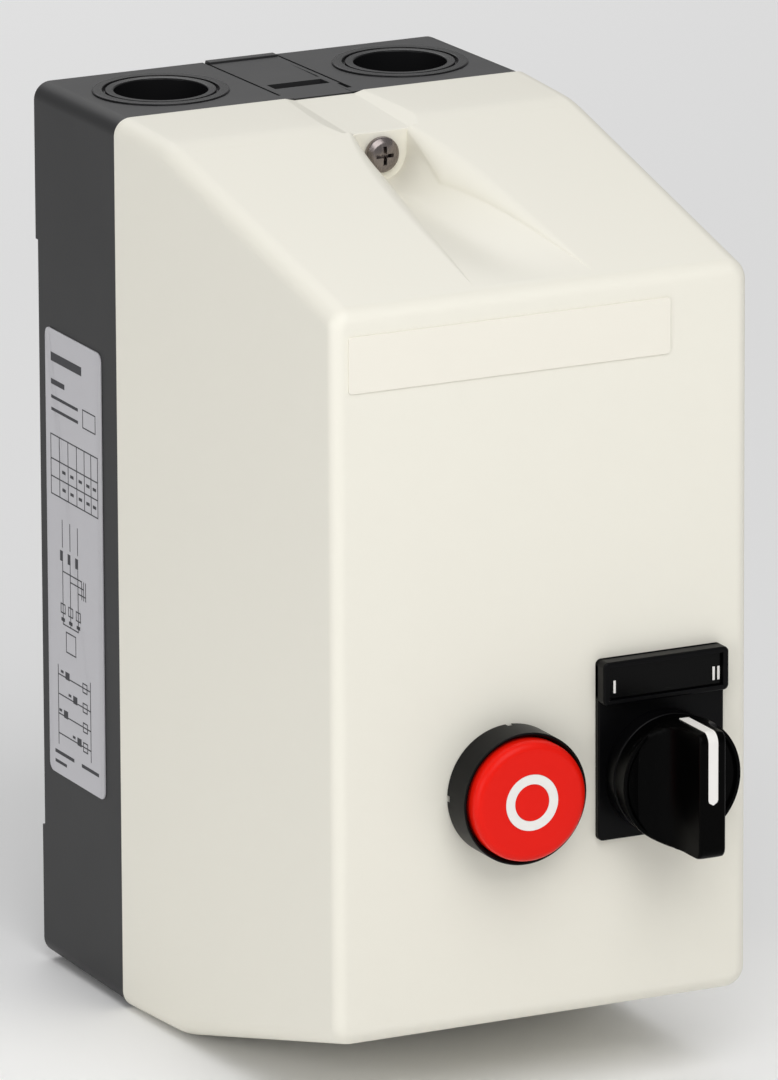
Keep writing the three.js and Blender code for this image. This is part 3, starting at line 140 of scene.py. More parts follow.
class EnclosureSettings(bpy.types.PropertyGroup):
    cover_color: FloatVectorProperty(
        name="Cover colour", description="Colour of the ivory cover", subtype="COLOR",
        size=4, min=0, max=1, default=linear(238, 235, 223))
    base_color: FloatVectorProperty(
        name="Base colour", description="Colour of the dark base", subtype="COLOR",
        size=4, min=0, max=1, default=linear(41, 41, 42))
    front_fillet: FloatProperty(
        name="Front edge radius", description="Radius of the edge round the cover's flat front, in mm",
        default=2.8, min=0.5, max=4.0)
    trough_lip: FloatProperty(
        name="Trough lip radius", description="Radius of the trough's lip beside the screw, in mm",
        default=1.3, min=0.1, max=2.0)
    base_edge: FloatProperty(
        name="Base edge radius", description="Radius of the base's moulded edges, in mm",
        default=0.35, min=0.05, max=1.0)


class ControlSettings(bpy.types.PropertyGroup):
    stop_color: FloatVectorProperty(
        name="Stop button colour", description="Colour of the stop button's cap", subtype="COLOR",
        size=4, min=0, max=1, default=linear(232, 24, 10))
    black_color: FloatVectorProperty(
        name="Control colour", description="Colour of the bezel, holder and handle", subtype="COLOR",
        size=4, min=0, max=1, default=linear(6, 6, 7))
    cap_edge: FloatProperty(
        name="Cap edge radius", description="Radius of the stop cap's front edge, in mm",
        default=1.9, min=0.3, max=3.0)
    turned_steps: IntProperty(
        name="Turned steps", description="Facets round each turned piece", default=96, min=24, max=256)


class DeviceSettings(bpy.types.PropertyGroup):
    body_color: FloatVectorProperty(
        name="Device colour", description="Colour of the contactors and the relay", subtype="COLOR",
        size=4, min=0, max=1, default=linear(62, 64, 68))
    edge: FloatProperty(
        name="Device edge radius", description="Radius of the devices' moulded edges, in mm",
        default=0.3, min=0.02, max=1.0)


class StageSettings(bpy.types.PropertyGroup):
    floor_color: FloatVectorProperty(
        name="Floor colour", description="Colour of the plain floor", subtype="COLOR",
        size=4, min=0, max=1, default=(0.96, 0.96, 0.96, 1.0))
    front_power: FloatProperty(
        name="Front light", description="Power of the large light above the front", subtype="POWER",
        unit="POWER", default=4.4, min=0.0)
    floor_power: FloatProperty(
        name="Floor light", description="Power of the light over the floor behind", subtype="POWER",
        unit="POWER", default=15.0, min=0.0)
    side_power: FloatProperty(
        name="Side light", description="Power of the light from the left", subtype="POWER",
        unit="POWER", default=10.6, min=0.0)
    sky: FloatProperty(
        name="Surrounding light", description="Strength of the even light from all round",
        default=0.34, min=0.0, max=2.0)


# ------------------------------------------------------------------ shader groups and materials


def new_group(name, inputs, outputs):
    """A shader node group with named sockets; inputs and outputs are (name, type, default)."""
    group = bpy.data.node_groups.new(name, "ShaderNodeTree")
    for direction, sockets in (("INPUT", inputs), ("OUTPUT", outputs)):
        for label, kind, default in sockets:
            socket = group.interface.new_socket(name=label, in_out=direction, socket_type=kind)
            if default is not None:
                socket.default_value = default
    group.nodes.new("NodeGroupInput").name = "In"
    group.nodes.new("NodeGroupOutput").name = "Out"
    return group


def math_node(nodes, operation, first, second=None):
    node = nodes.new("ShaderNodeMath")
    node.operation = operation
    for socket, value in zip(node.inputs, (first, second)):
        if value is None:
            continue
        if isinstance(value, (int, float)):
            socket.default_value = value
        else:
            node.id_data.links.new(value, socket)
    return node.outputs[0]


def moulded_surface():
    """Fine spark-eroded grain, faint broad clouding, and the sheen that varies with them."""
    if "Moulded surface" in bpy.data.node_groups:
        return bpy.data.node_groups["Moulded surface"]
    group = new_group(
        "Moulded surface",
        [("Colour", "NodeSocketColor", (0.8, 0.8, 0.8, 1)),
         ("Grain size", "NodeSocketFloat", 2500.0),
         ("Clouding", "NodeSocketFloat", 0.03),
         ("Roughness", "NodeSocketFloat", 0.45),
         ("Sheen change", "NodeSocketFloat", 0.08)],
        [("Colour", "NodeSocketColor", None),
         ("Roughness", "NodeSocketFloat", None),
         ("Grain", "NodeSocketFloat", None)])
    nodes, links = group.nodes, group.links
    source, result = nodes["In"], nodes["Out"]
    place = nodes.new("ShaderNodeTexCoord").outputs["Object"]
    grain = nodes.new("ShaderNodeTexNoise")
    grain.inputs["Detail"].default_value = 2.0
    links.new(place, grain.inputs["Vector"])
    links.new(source.outputs["Grain size"], grain.inputs["Scale"])
    cloud = nodes.new("ShaderNodeTexNoise")
    cloud.inputs["Scale"].default_value = 35.0
    cloud.inputs["Detail"].default_value = 3.0
    links.new(place, cloud.inputs["Vector"])
    centred = math_node(nodes, "SUBTRACT", cloud.outputs["Fac"], 0.5)
    shade = math_node(nodes, "MULTIPLY", centred, source.outputs["Clouding"])
    bright = math_node(nodes, "ADD", shade, 1.0)
    scale = nodes.new("ShaderNodeVectorMath")
    scale.operation = "SCALE"
    links.new(source.outputs["Colour"], scale.inputs[0])
    links.new(bright, scale.inputs["Scale"])
    change = math_node(nodes, "MULTIPLY", centred, source.outputs["Sheen change"])
    sheen = math_node(nodes, "ADD", source.outputs["Roughness"], change)
    links.new(scale.outputs[0], result.inputs["Colour"])
    links.new(sheen, result.inputs["Roughness"])
    links.new(grain.outputs["Fac"], result.inputs["Grain"])
    return group


def drawn_metal():
    """Fine lines left by drawing or brushing along z, with the sheen and tint that vary with them."""
    if "Drawn metal" in bpy.data.node_groups:
        return bpy.data.node_groups["Drawn metal"]
    group = new_group(
        "Drawn metal",
        [("Colour", "NodeSocketColor", (0.6, 0.6, 0.6, 1)),
         ("Line spacing", "NodeSocketFloat", 1800.0),
         ("Roughness", "NodeSocketFloat", 0.3),
         ("Sheen change", "NodeSocketFloat", 0.2),
         ("Tarnish", "NodeSocketFloat", 0.12)],
        [("Colour", "NodeSocketColor", None),
         ("Roughness", "NodeSocketFloat", None),
         ("Lines", "NodeSocketFloat", None)])
    nodes, links = group.nodes, group.links
    source, result = nodes["In"], nodes["Out"]
    place = nodes.new("ShaderNodeTexCoord").outputs["Object"]
    stretch = nodes.new("ShaderNodeMapping")
    stretch.inputs["Scale"].default_value = (1.0, 1.0, 0.06)
    links.new(place, stretch.inputs["Vector"])
    lines = nodes.new("ShaderNodeTexNoise")
    lines.inputs["Detail"].default_value = 2.0
    links.new(stretch.outputs[0], lines.inputs["Vector"])
    links.new(source.outputs["Line spacing"], lines.inputs["Scale"])
    patches = nodes.new("ShaderNodeTexNoise")
    patches.inputs["Scale"].default_value = 220.0
    links.new(place, patches.inputs["Vector"])
    centred = math_node(nodes, "SUBTRACT", lines.outputs["Fac"], 0.5)
    change = math_node(nodes, "MULTIPLY", centred, source.outputs["Sheen change"])
    sheen = math_node(nodes, "ADD", source.outputs["Roughness"], change)
    spots = math_node(nodes, "SUBTRACT", patches.outputs["Fac"], 0.5)
    dulled = math_node(nodes, "MULTIPLY", spots, source.outputs["Tarnish"])
    bright = math_node(nodes, "ADD", dulled, 1.0)
    scale = nodes.new("ShaderNodeVectorMath")
    scale.operation = "SCALE"
    links.new(source.outputs["Colour"], scale.inputs[0])
    links.new(bright, scale.inputs["Scale"])
    links.new(scale.outputs[0], result.inputs["Colour"])
    links.new(sheen, result.inputs["Roughness"])
    links.new(lines.outputs["Fac"], result.inputs["Lines"])
    return group


def surfaced(name, group, values, feed, bump, metallic=0.0, specular=0.5):
    """A material whose Principled shader is fed by one of the shared groups."""
    if name in bpy.data.materials:
        return bpy.data.materials[name]
    material = bpy.data.materials.new(name)
    material.use_nodes = True
    nodes, links = material.node_tree.nodes, material.node_tree.links
    shader = nodes["Principled BSDF"]
    effect = nodes.new("ShaderNodeGroup")
    effect.node_tree = group
    effect.location = (-500, 200)
    for label, value in values.items():
        effect.inputs[label].default_value = value
    links.new(effect.outputs["Colour"], shader.inputs["Base Color"])
    links.new(effect.outputs["Roughness"], shader.inputs["Roughness"])
    if bump:
        raised = nodes.new("ShaderNodeBump")
        raised.location = (-250, -200)
        raised.inputs["Strength"].default_value = bump
        raised.inputs["Distance"].default_value = 0.00004
        links.new(effect.outputs[feed], raised.inputs["Height"])
        links.new(raised.outputs["Normal"], shader.inputs["Normal"])
    shader.inputs["Metallic"].default_value = metallic
    shader.inputs["Specular IOR Level"].default_value = specular
    return material


def moulded(name, color, roughness, grain=2500.0, bump=0.25, clouding=0.03, specular=0.25):
    values = {"Colour": color, "Grain size": grain, "Clouding": clouding, "Roughness": roughness}
    return surfaced(name, moulded_surface(), values, "Grain", bump, specular=specular)


def metal(name, color, roughness, spacing=1800.0, bump=0.15, tarnish=0.12):
    values = {"Colour": color, "Line spacing": spacing, "Roughness": roughness, "Tarnish": tarnish}
    return surfaced(name, drawn_metal(), values, "Lines", bump, metallic=1.0)


def ivory_plastic():
    color = tuple(bpy.context.scene.starter_enclosure.cover_color)
    return moulded("Ivory plastic", color, 0.42, grain=2600, bump=0.12, clouding=0.012)


def charcoal_plastic():
    color = tuple(bpy.context.scene.starter_enclosure.base_color)
    return moulded("Charcoal plastic", color, 0.46, grain=2200, bump=0.3, clouding=0.06, specular=0.28)


def charcoal_gloss():
    """The knock-outs have a polished finish and look darker than the grained walls."""
    return moulded("Charcoal gloss", linear(22, 22, 23), 0.22, grain=1500, bump=0.04, specular=0.16)


def black_plastic():
    color = tuple(bpy.context.scene.starter_controls.black_color)
    return moulded("Black plastic", color, 0.34, grain=3000, bump=0.1, clouding=0.05, specular=0.1)


def handle_plastic():
    return moulded("Handle plastic", linear(2, 2, 2), 0.3, grain=3000, bump=0.06, specular=0.04)


def red_plastic():
    color = tuple(bpy.context.scene.starter_controls.stop_color)
    return moulded("Red plastic", color, 0.36, grain=2600, bump=0.08, clouding=0.03, specular=0.16)


def white_plastic():
    return moulded("White plastic", linear(240, 238, 234), 0.4, bump=0.05, clouding=0.02)


def device_plastic():
    color = tuple(bpy.context.scene.starter_devices.body_color)
    return moulded("Device plastic", color, 0.5, grain=2300, bump=0.25, clouding=0.05)


def cream_plastic():
    return moulded("Cream plastic", linear(222, 216, 200), 0.45, bump=0.1, clouding=0.03)


def seal_rubber():
    return moulded("Seal rubber", linear(34, 34, 34), 0.85, grain=1800, bump=0.3, clouding=0.1)


def label_film():
    return moulded("Label film", linear(193, 192, 196), 0.38, grain=900, bump=0.03, clouding=0.02)


def nameplate_film():
    return moulded("Nameplate film", linear(240, 236, 224), 0.3, grain=900, bump=0.02, clouding=0.01)


def legend_film():
    return moulded("Legend film", linear(5, 5, 5), 0.26, grain=1500, bump=0.04, specular=0.1)


def label_ink():
    return moulded("Label ink", linear(58, 58, 62), 0.5, bump=0.0, clouding=0.05)


def plated_steel():
    return metal("Plated steel", linear(176, 172, 168), 0.34)


def screw_steel():
    return metal("Screw steel", linear(138, 130, 128), 0.27, spacing=1200, tarnish=0.5)


def spring_steel():
    return metal("Spring steel", linear(165, 165, 168), 0.3, spacing=3000)


def core_steel():
    return metal("Core steel", linear(128, 128, 132), 0.45, spacing=2400, bump=0.5)


def brass():
    return metal("Brass", linear(204, 170, 96), 0.32)


def copper_winding():
    return metal("Copper winding", linear(196, 112, 66), 0.38, spacing=5000, bump=0.6)


# ------------------------------------------------------------------ mesh helpers


def spot(x, forward, z):
    return Vector((x * MM, -forward * MM, z * MM))


def mesh_object(name, bm, material, sharp=35.0):
    """An object from a bmesh, smooth shaded, with edges above the angle kept sharp."""
    bmesh.ops.recalc_face_normals(bm, faces=bm.faces)
    mesh = bpy.data.meshes.new(name)
    bm.to_mesh(mesh)
    bm.free()
    mesh.shade_smooth()
    mesh.set_sharp_from_angle(angle=math.radians(sharp))
    obj = bpy.data.objects.new(name, mesh)
    bpy.context.scene.collection.objects.link(obj)
    if material:
        mesh.materials.append(material)
    return obj


def attach(obj, body):
    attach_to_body(obj, body)


def settle(obj, body, slot, *nodes):
    """Even normals, then the piece rides on its body in place of the frame's nodes."""
    weighted = obj.modifiers.new("Even normals", "WEIGHTED_NORMAL")
    weighted.keep_sharp = True
    weighted.weight = 90
    attach(obj, body)
    if nodes:
        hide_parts(*nodes)
    return obj


def skin(bm, rings, closed=False, first=True, last=True):
    """Quads between rings of equal count; closed joins the last ring to the first."""
    made = [[bm.verts.new(spot(*point)) for point in ring] for ring in rings]
    pairs = list(zip(made, made[1:]))
    if closed:
        pairs.append((made[-1], made[0]))
    count = len(made[0])
    for one, two in pairs:
        for i in range(count):
            j = (i + 1) % count
            bm.faces.new((one[i], one[j], two[j], two[i]))
    if not closed and first:
        bm.faces.new(made[0][::-1])
    if not closed and last:
        bm.faces.new(made[-1])
    return made


def eased(corners, steps=4):
    """Rounds a profile of (u, v) or (u, v, radius) corners; the ends of an open one stay as they are."""
    points = []
    count = len(corners)
    for i, corner in enumerate(corners):
        radius = corner[2] if len(corner) > 2 else 0
        if not radius:
            points.append(tuple(corner[:2]))
            continue
        here = Vector(corner[:2])
        before = Vector(corners[i - 1][:2]) - here
        after = Vector(corners[(i + 1) % count][:2]) - here
        angle = before.angle(after)
        reach = min(radius / math.tan(angle / 2), 0.49 * before.length, 0.49 * after.length)
        start, end = here + before.normalized() * reach, here + after.normalized() * reach
        radius = reach * math.tan(angle / 2)
        centre = here + (before.normalized() + after.normalized()).normalized() * (
            radius / math.sin(angle / 2))
        a0 = math.atan2(start.y - centre.y, start.x - centre.x)
        a1 = math.atan2(end.y - centre.y, end.x - centre.x)
        turn = (a1 - a0 + math.pi) % (2 * math.pi) - math.pi
        for s in range(steps + 1):
            a = a0 + turn * s / steps
            points.append((centre.x + radius * math.cos(a), centre.y + radius * math.sin(a)))
    return points


def turn_profile(bm, corners, x, z, steps=None, upright_at=None):
    """A closed profile of (radius, along) corners turned about an axis through x and z.

    The axis points forward, or up through (x, forward) where upright_at gives that forward distance."""
    steps = steps or bpy.context.scene.starter_controls.turned_steps
    rows = []
    for radius, along in eased(corners):
        if radius < 1e-6:
            point = spot(x, upright_at, along) if upright_at is not None else spot(x, along, z)
            rows.append([bm.verts.new(point)])
            continue
        row = []
        for i in range(steps):
            a = 2 * math.pi * i / steps
            u, v = radius * math.cos(a), radius * math.sin(a)
            if upright_at is None:
                row.append(bm.verts.new(spot(x + u, along, z + v)))
            else:
                row.append(bm.verts.new(spot(x + u, upright_at + v, along)))
        rows.append(row)
    for one, two in zip(rows, rows[1:] + rows[:1]):
        if len(one) == 1 and len(two) == 1:
            continue
        for i in range(steps):
            j = (i + 1) % steps
            if len(one) == 1:
                bm.faces.new((one[0], two[j], two[i]))
            elif len(two) == 1:
                bm.faces.new((one[i], one[j], two[0]))
            else:
                bm.faces.new((one[i], one[j], two[j], two[i]))


def turned(name, corners, x, z, material, steps=None, upright_at=None):
    bm = bmesh.new()
    turn_profile(bm, corners, x, z, steps, upright_at)
    return mesh_object(name, bm, material)


def peg(name, radius, start, end, x, z, steps=48, upright_at=None):
    """A plain round bar, only used to cut or add to other pieces."""
    corners = [(0, start), (radius, start), (radius, end), (0, end)]
    return turned(name, corners, x, z, None, steps, upright_at)


def rounded_outline(x0, x1, z0, z1, radius, steps=8):
    """Points round a rounded rectangle, as (x, z)."""
    corners = ((x1 - radius, z0 + radius, -90), (x1 - radius, z1 - radius, 0),
               (x0 + radius, z1 - radius, 90), (x0 + radius, z0 + radius, 180))
    points = []
    for x, z, start in corners:
        for i in range(steps + 1):
            a = math.radians(start + 90 * i / steps)
            points.append((x + radius * math.cos(a), z + radius * math.sin(a)))
    return points


def add_slab(bm, span, forward, corner, edge, rear_edge=0.0, steps=8):
    """A rounded rectangle (x0, x1, z0, z1) from forward[0] to forward[1] with rounded front edges."""
    x0, x1, z0, z1 = span
    rear, front = forward

    def ring(f, inset):
        radius = max(corner - inset, 0.05)
        outline = rounded_outline(x0 + inset, x1 - inset, z0 + inset, z1 - inset, radius, steps)
        return [(x, f, z) for x, z in outline]

    rings = []
    for i in range(4 if rear_edge else 1):
        a = math.pi / 2 * i / 3
        rings.append(ring(rear + rear_edge * (1 - math.cos(a)), rear_edge * (1 - math.sin(a))))
    for i in range(5):
        a = math.pi / 2 * i / 4
        rings.append(ring(front - edge + edge * math.sin(a), edge * (1 - math.cos(a))))
    skin(bm, rings)


def slab(name, span, forward, corner, edge, material, rear_edge=0.0):
    bm = bmesh.new()
    add_slab(bm, span, forward, corner, edge, rear_edge)
    return mesh_object(name, bm, material)


def block(name, x0, x1, f0, f1, z0, z1):
    """A plain box, only used to cut other pieces."""
    bm = bmesh.new()
    rings = [[(x0, f, z0), (x1, f, z0), (x1, f, z1), (x0, f, z1)] for f in (f0, f1)]
    skin(bm, rings)
    return mesh_object(name, bm, None)


def carve(obj, operation, *tools):
    """Boolean of obj with each tool in turn; the tools are used up."""
    for tool in tools:
        step = obj.modifiers.new("Carve", "BOOLEAN")
        step.operation = operation
        step.solver = "EXACT"
        step.object = tool
        bpy.context.view_layer.update()
        graph = bpy.context.evaluated_depsgraph_get()
        mesh = bpy.data.meshes.new_from_object(obj.evaluated_get(graph))
        obj.modifiers.clear()
        old, obj.data = obj.data, mesh
        bpy.data.meshes.remove(old)
        spent = tool.data
        bpy.data.objects.remove(tool)
        bpy.data.meshes.remove(spent)
    return obj


def ease_edges(obj, width, segments=2, angle=30.0, flat=0.2):
    """Rounds every edge sharper than the angle by width."""
    bm = bmesh.new()
    bm.from_mesh(obj.data)
    bmesh.ops.remove_doubles(bm, verts=bm.verts, dist=0.002 * MM)
    bmesh.ops.dissolve_limit(
        bm, angle_limit=math.radians(flat), verts=bm.verts, edges=bm.edges)
    limit = math.radians(angle)
    edges = [e for e in bm.edges if len(e.link_faces) == 2 and e.calc_face_angle(0) > limit]
    bmesh.ops.bevel(
        bm, geom=edges, offset=width * MM, offset_type="OFFSET", segments=segments,
        profile=0.5, affect="EDGES", clamp_overlap=True)
    bmesh.ops.recalc_face_normals(bm, faces=bm.faces)
    bm.to_mesh(obj.data)
    bm.free()
    obj.data.shade_smooth()
    obj.data.set_sharp_from_angle(angle=math.radians(35))
    return obj


def refined(node, body, slot, material, width, segments=2):
    """A detailed copy of one of the frame's nodes, with rounded edges, that stands for it."""
    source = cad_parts[node]
    bm = bmesh.new()
    bm.from_mesh(source.data)
    obj = mesh_object(node + "_detail", bm, None)
    obj.data.materials.clear()
    obj.data.materials.append(material)
    ease_edges(obj, width, segments)
    return settle(obj, body, slot, node)


def joined(name, objects):
    """Several meshes as one object, with the first one's materials."""
    first = objects[0]
    bm = bmesh.new()
    for obj in objects:
        bm.from_mesh(obj.data)
    material = first.data.materials[0] if first.data.materials else None
    for obj in objects:
        spent = obj.data
        bpy.data.objects.remove(obj)
        bpy.data.meshes.remove(spent)
    return mesh_object(name, bm, material)


def add_coil(bm, mean_radius, wire, f0, f1, x, z, turns, around=12):
    """A coil of round wire along the forward axis, cut square at both ends."""
    steps = int(turns * 28)
    rings = []
    for i in range(steps + 1):
        share = i / steps
        a = 2 * math.pi * turns * share
        centre = Vector((x + mean_radius * math.cos(a), mix(f0 + wire, f1 - wire, share),
                         z + mean_radius * math.sin(a)))
        outward = Vector((math.cos(a), 0, math.sin(a)))
        rise = (f1 - f0) / (2 * math.pi * turns)
        along = Vector((-mean_radius * math.sin(a), rise, mean_radius * math.cos(a))).normalized()
        across = along.cross(outward)
        rings.append([
            tuple(centre + wire * (outward * math.cos(b) + across * math.sin(b)))
            for b in (2 * math.pi * k / around for k in range(around))])
    skin(bm, rings)


def shorten(coil):
    """Gives the coil a mesh of its own; its length stays as it is."""
    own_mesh(coil)


def cross_slot(x, z, face, arm, width, depth):
    """Two tapered wedges that cut a cross recess into a screw's head."""
    tools = []
    for along_x in (True, False):
        bm = bmesh.new()
        rings = []
        for f, share in ((face - depth, 0.62), (face + 0.4, 1.06)):
            a, w = arm * share, width / 2 * (0.75 if share < 1 else 1.0)
            u, v = (a, w) if along_x else (w, a)
            rings.append([(x - u, f, z - v), (x + u, f, z - v), (x + u, f, z + v), (x - u, f, z + v)])
        skin(bm, rings)
        tools.append(mesh_object("slot_tool", bm, None))
    return tools


def pan_screw(name, x, z, seat, head, height, shank, length, material):
    """A pan-head screw with a cross recess; its head stands forward of seat."""
    corners = [
        (0, seat - length), (shank - 0.4, seat - length), (shank, seat - length + 0.8),
        (shank, seat, 0.1), (head - 0.15, seat), (head, seat + height * 0.2, 0.15),
        (head * 0.97, seat + height * 0.52, 0.5), (head * 0.72, seat + height * 0.86, 0.9),
        (head * 0.35, seat + height), (0, seat + height)]
    screw = turned(name, corners, x, z, material, steps=48)
    carve(screw, "DIFFERENCE",
          *cross_slot(x, z, seat + height, head * 0.56, head * 0.22, height * 0.62))
    screw.data.shade_smooth()
    screw.data.set_sharp_from_angle(angle=math.radians(28))
    return screw


def repeated(name, obj, places):
    """Copies of obj's mesh moved by each (x, forward, z), as one object."""
    material = obj.data.materials[0]
    bm = bmesh.new()
    for place in places:
        count = len(bm.verts)
        bm.from_mesh(obj.data)
        bm.verts.ensure_lookup_table()
        bmesh.ops.translate(bm, verts=bm.verts[count:], vec=spot(*place))
    spent = obj.data
    bpy.data.objects.remove(obj)
    bpy.data.meshes.remove(spent)
    return mesh_object(name, bm, material, sharp=28)


# ------------------------------------------------------------------ outlines of the enclosure


def soft_lower(a, b, blend=0.3):
    """The lower of two values, with a rounded change from one to the other."""
    low = min(a, b)
    return low - blend * math.log(math.exp((low - a) / blend) + math.exp((low - b) / blend))


def cover_half_width(f):
    return mix(COVER_HALF[0], FRONT_HALF[0], (f - BASE_DEPTH) / (BODY_DEPTH - BASE_DEPTH))


def cover_half_height(f, crease):
    strip = mix(COVER_HALF[1], CREASE_HALF, (f - BASE_DEPTH) / (crease - BASE_DEPTH))
    slope = mix(CREASE_HALF, FRONT_HALF[1], (f - crease) / (BODY_DEPTH - crease))
    return soft_lower(strip, slope)


def cover_top(f):
    return cover_half_height(f, TOP_CREASE)


def base_outline(f, inset, steps=10):
    share = f / BASE_DEPTH
    w = mix(BASE_REAR_HALF[0], BASE_FRONT_HALF[0], share) - inset
    h = mix(BASE_REAR_HALF[1], BASE_FRONT_HALF[1], share) - inset
    return [(x, f, z) for x, z in rounded_outline(-w, w, -h, h, max(3.9 - inset, 0.5), steps)]


def channel_section(f, inset):
    """Right half of the strip's edge: the channel's sloping side and its floor, as (x, z)."""
    top = cover_top(f) - inset
    share = (f - CHANNEL_REAR) / (POCKET_WALL + 0.5 - CHANNEL_REAR)
    floor = mix(COVER_HALF[1] - CHANNEL_DEPTH[0], cover_top(POCKET_WALL) - CHANNEL_DEPTH[1], share)
    depth = max(cover_top(f) - floor, 0.0) if inset < COVER_LIP else 0.0
    slope = mix(CHANNEL_WALL / CHANNEL_DEPTH[0], CHANNEL_WALL / CHANNEL_DEPTH[1], share)
    brim = CHANNEL_HALF + depth * slope
    points = [(mix(brim, CHANNEL_HALF, i / LIP_POINTS), top - depth * i / LIP_POINTS)
              for i in range(LIP_POINTS + 1)]
    points += [(CHANNEL_HALF * math.cos(math.pi / 2 * i / BOWL_POINTS), top - depth)
               for i in range(BOWL_POINTS + 1)]
    return points


def trough_section(f, inset, grow):
    """Right half of the cover's top edge, from the outer end of the lip to the middle, as (x, z)."""
    if f < POCKET_WALL - grow:
        return channel_section(f, inset)
    top = cover_top(f) - inset
    run = max(f - POCKET_WALL, 0.0)
    outer = mix(TROUGH_HALF[0], TROUGH_HALF[1], 1 - math.exp(-run / TROUGH_GROWTH)) + grow
    share = run / (TROUGH_FRONT - POCKET_WALL)
    floor = mix(SCREW_Z - 6.0, cover_top(TROUGH_FRONT) - 0.06, share) - grow
    depth = max(top - floor, 0.0)
    floor = top - depth
    lip = min(bpy.context.scene.starter_enclosure.trough_lip + LIP_GROWTH * run, 0.65 * depth)
    half = outer - lip
    bowl = min(depth - lip, half)
    points = []
    for i in range(LIP_POINTS):
        a = math.pi / 2 * i / (LIP_POINTS - 1)
        points.append((outer - lip * math.sin(a), top - lip + lip * math.cos(a)))
    points.append((half, mix(top - lip, floor + bowl, 0.5)))
    for i in range(BOWL_POINTS + 1):
        a = math.pi / 2 * i / BOWL_POINTS
        points.append((half * math.cos(a), floor + bowl * (1 - math.sin(a))))
    # Away from the screw the section relaxes towards a wave, so that its walls get gentler.
    softness = TROUGH_SOFTNESS * (1 - math.exp(-run / 8.0))
    return [(x, mix(z, floor + depth * (0.5 - 0.5 * math.cos(math.pi * x / outer)), softness))
            for x, z in points]


def cover_ring(f, inset, at=None, grow=None):
    """Points round the cover at one distance; grow moves the trough's skin out, None leaves it flat."""
    at = f if at is None else at
    w = cover_half_width(at) - inset
    top = cover_top(at) - inset
    bottom = -(cover_half_height(at, BOTTOM_CREASE) - inset)
    radius = max(mix(3.9, 4.4, (at - BASE_DEPTH) / (BODY_DEPTH - BASE_DEPTH)) - inset, 0.5)
    if grow is None:
        count = LIP_POINTS + BOWL_POINTS + 1
        half = [(CHANNEL_HALF * math.cos(math.pi / 2 * i / count), top) for i in range(count + 1)]
    else:
        half = [(x, min(z, top)) for x, z in trough_section(at, inset, grow)]
    ends = [(mix(w - radius, half[0][0], i / 5), top) for i in range(5)]
    right = ends + half
    left = [(-x, z) for x, z in right[::-1][1:]]
    outline = []

    def arc(x, z, start):
        for i in range(11):
            a = math.radians(start + 9 * i)
            outline.append((x + radius * math.cos(a), z + radius * math.sin(a)))

    arc(w - radius, bottom + radius, -90)
    outline += [(w, mix(bottom + radius, top - radius, i / 4)) for i in (1, 2, 3)]
    arc(w - radius, top - radius, 0)
    outline += (right + left)[1:-1]
    arc(-w + radius, top - radius, 90)
    outline += [(-w, mix(top - radius, bottom + radius, i / 4)) for i in (1, 2, 3)]
    arc(-w + radius, bottom + radius, 180)
    outline += [(mix(-w + radius, w - radius, i / 4), bottom) for i in (1, 2, 3)]
    return [(x, f, z) for x, z in outline]


def face_with_holes(bm, ring, f, holes):
    """A flat face inside a ring of vertices, with round holes of (x, z, radius) given as rings."""
    edges = [bm.edges.get((a, b)) for a, b in zip(ring, ring[1:] + ring[:1])]
    rims = []
    for x, z, radius in holes:
        rim = [bm.verts.new(spot(x + radius * math.cos(a), f, z + radius * math.sin(a)))
               for a in (2 * math.pi * i / 64 for i in range(64))]
        edges += [bm.edges.new((a, b)) for a, b in zip(rim, rim[1:] + rim[:1])]
        rims.append(rim)
    bmesh.ops.triangle_fill(bm, use_beauty=True, use_dissolve=False, edges=edges)
    return rims


# ------------------------------------------------------------------ enclosure


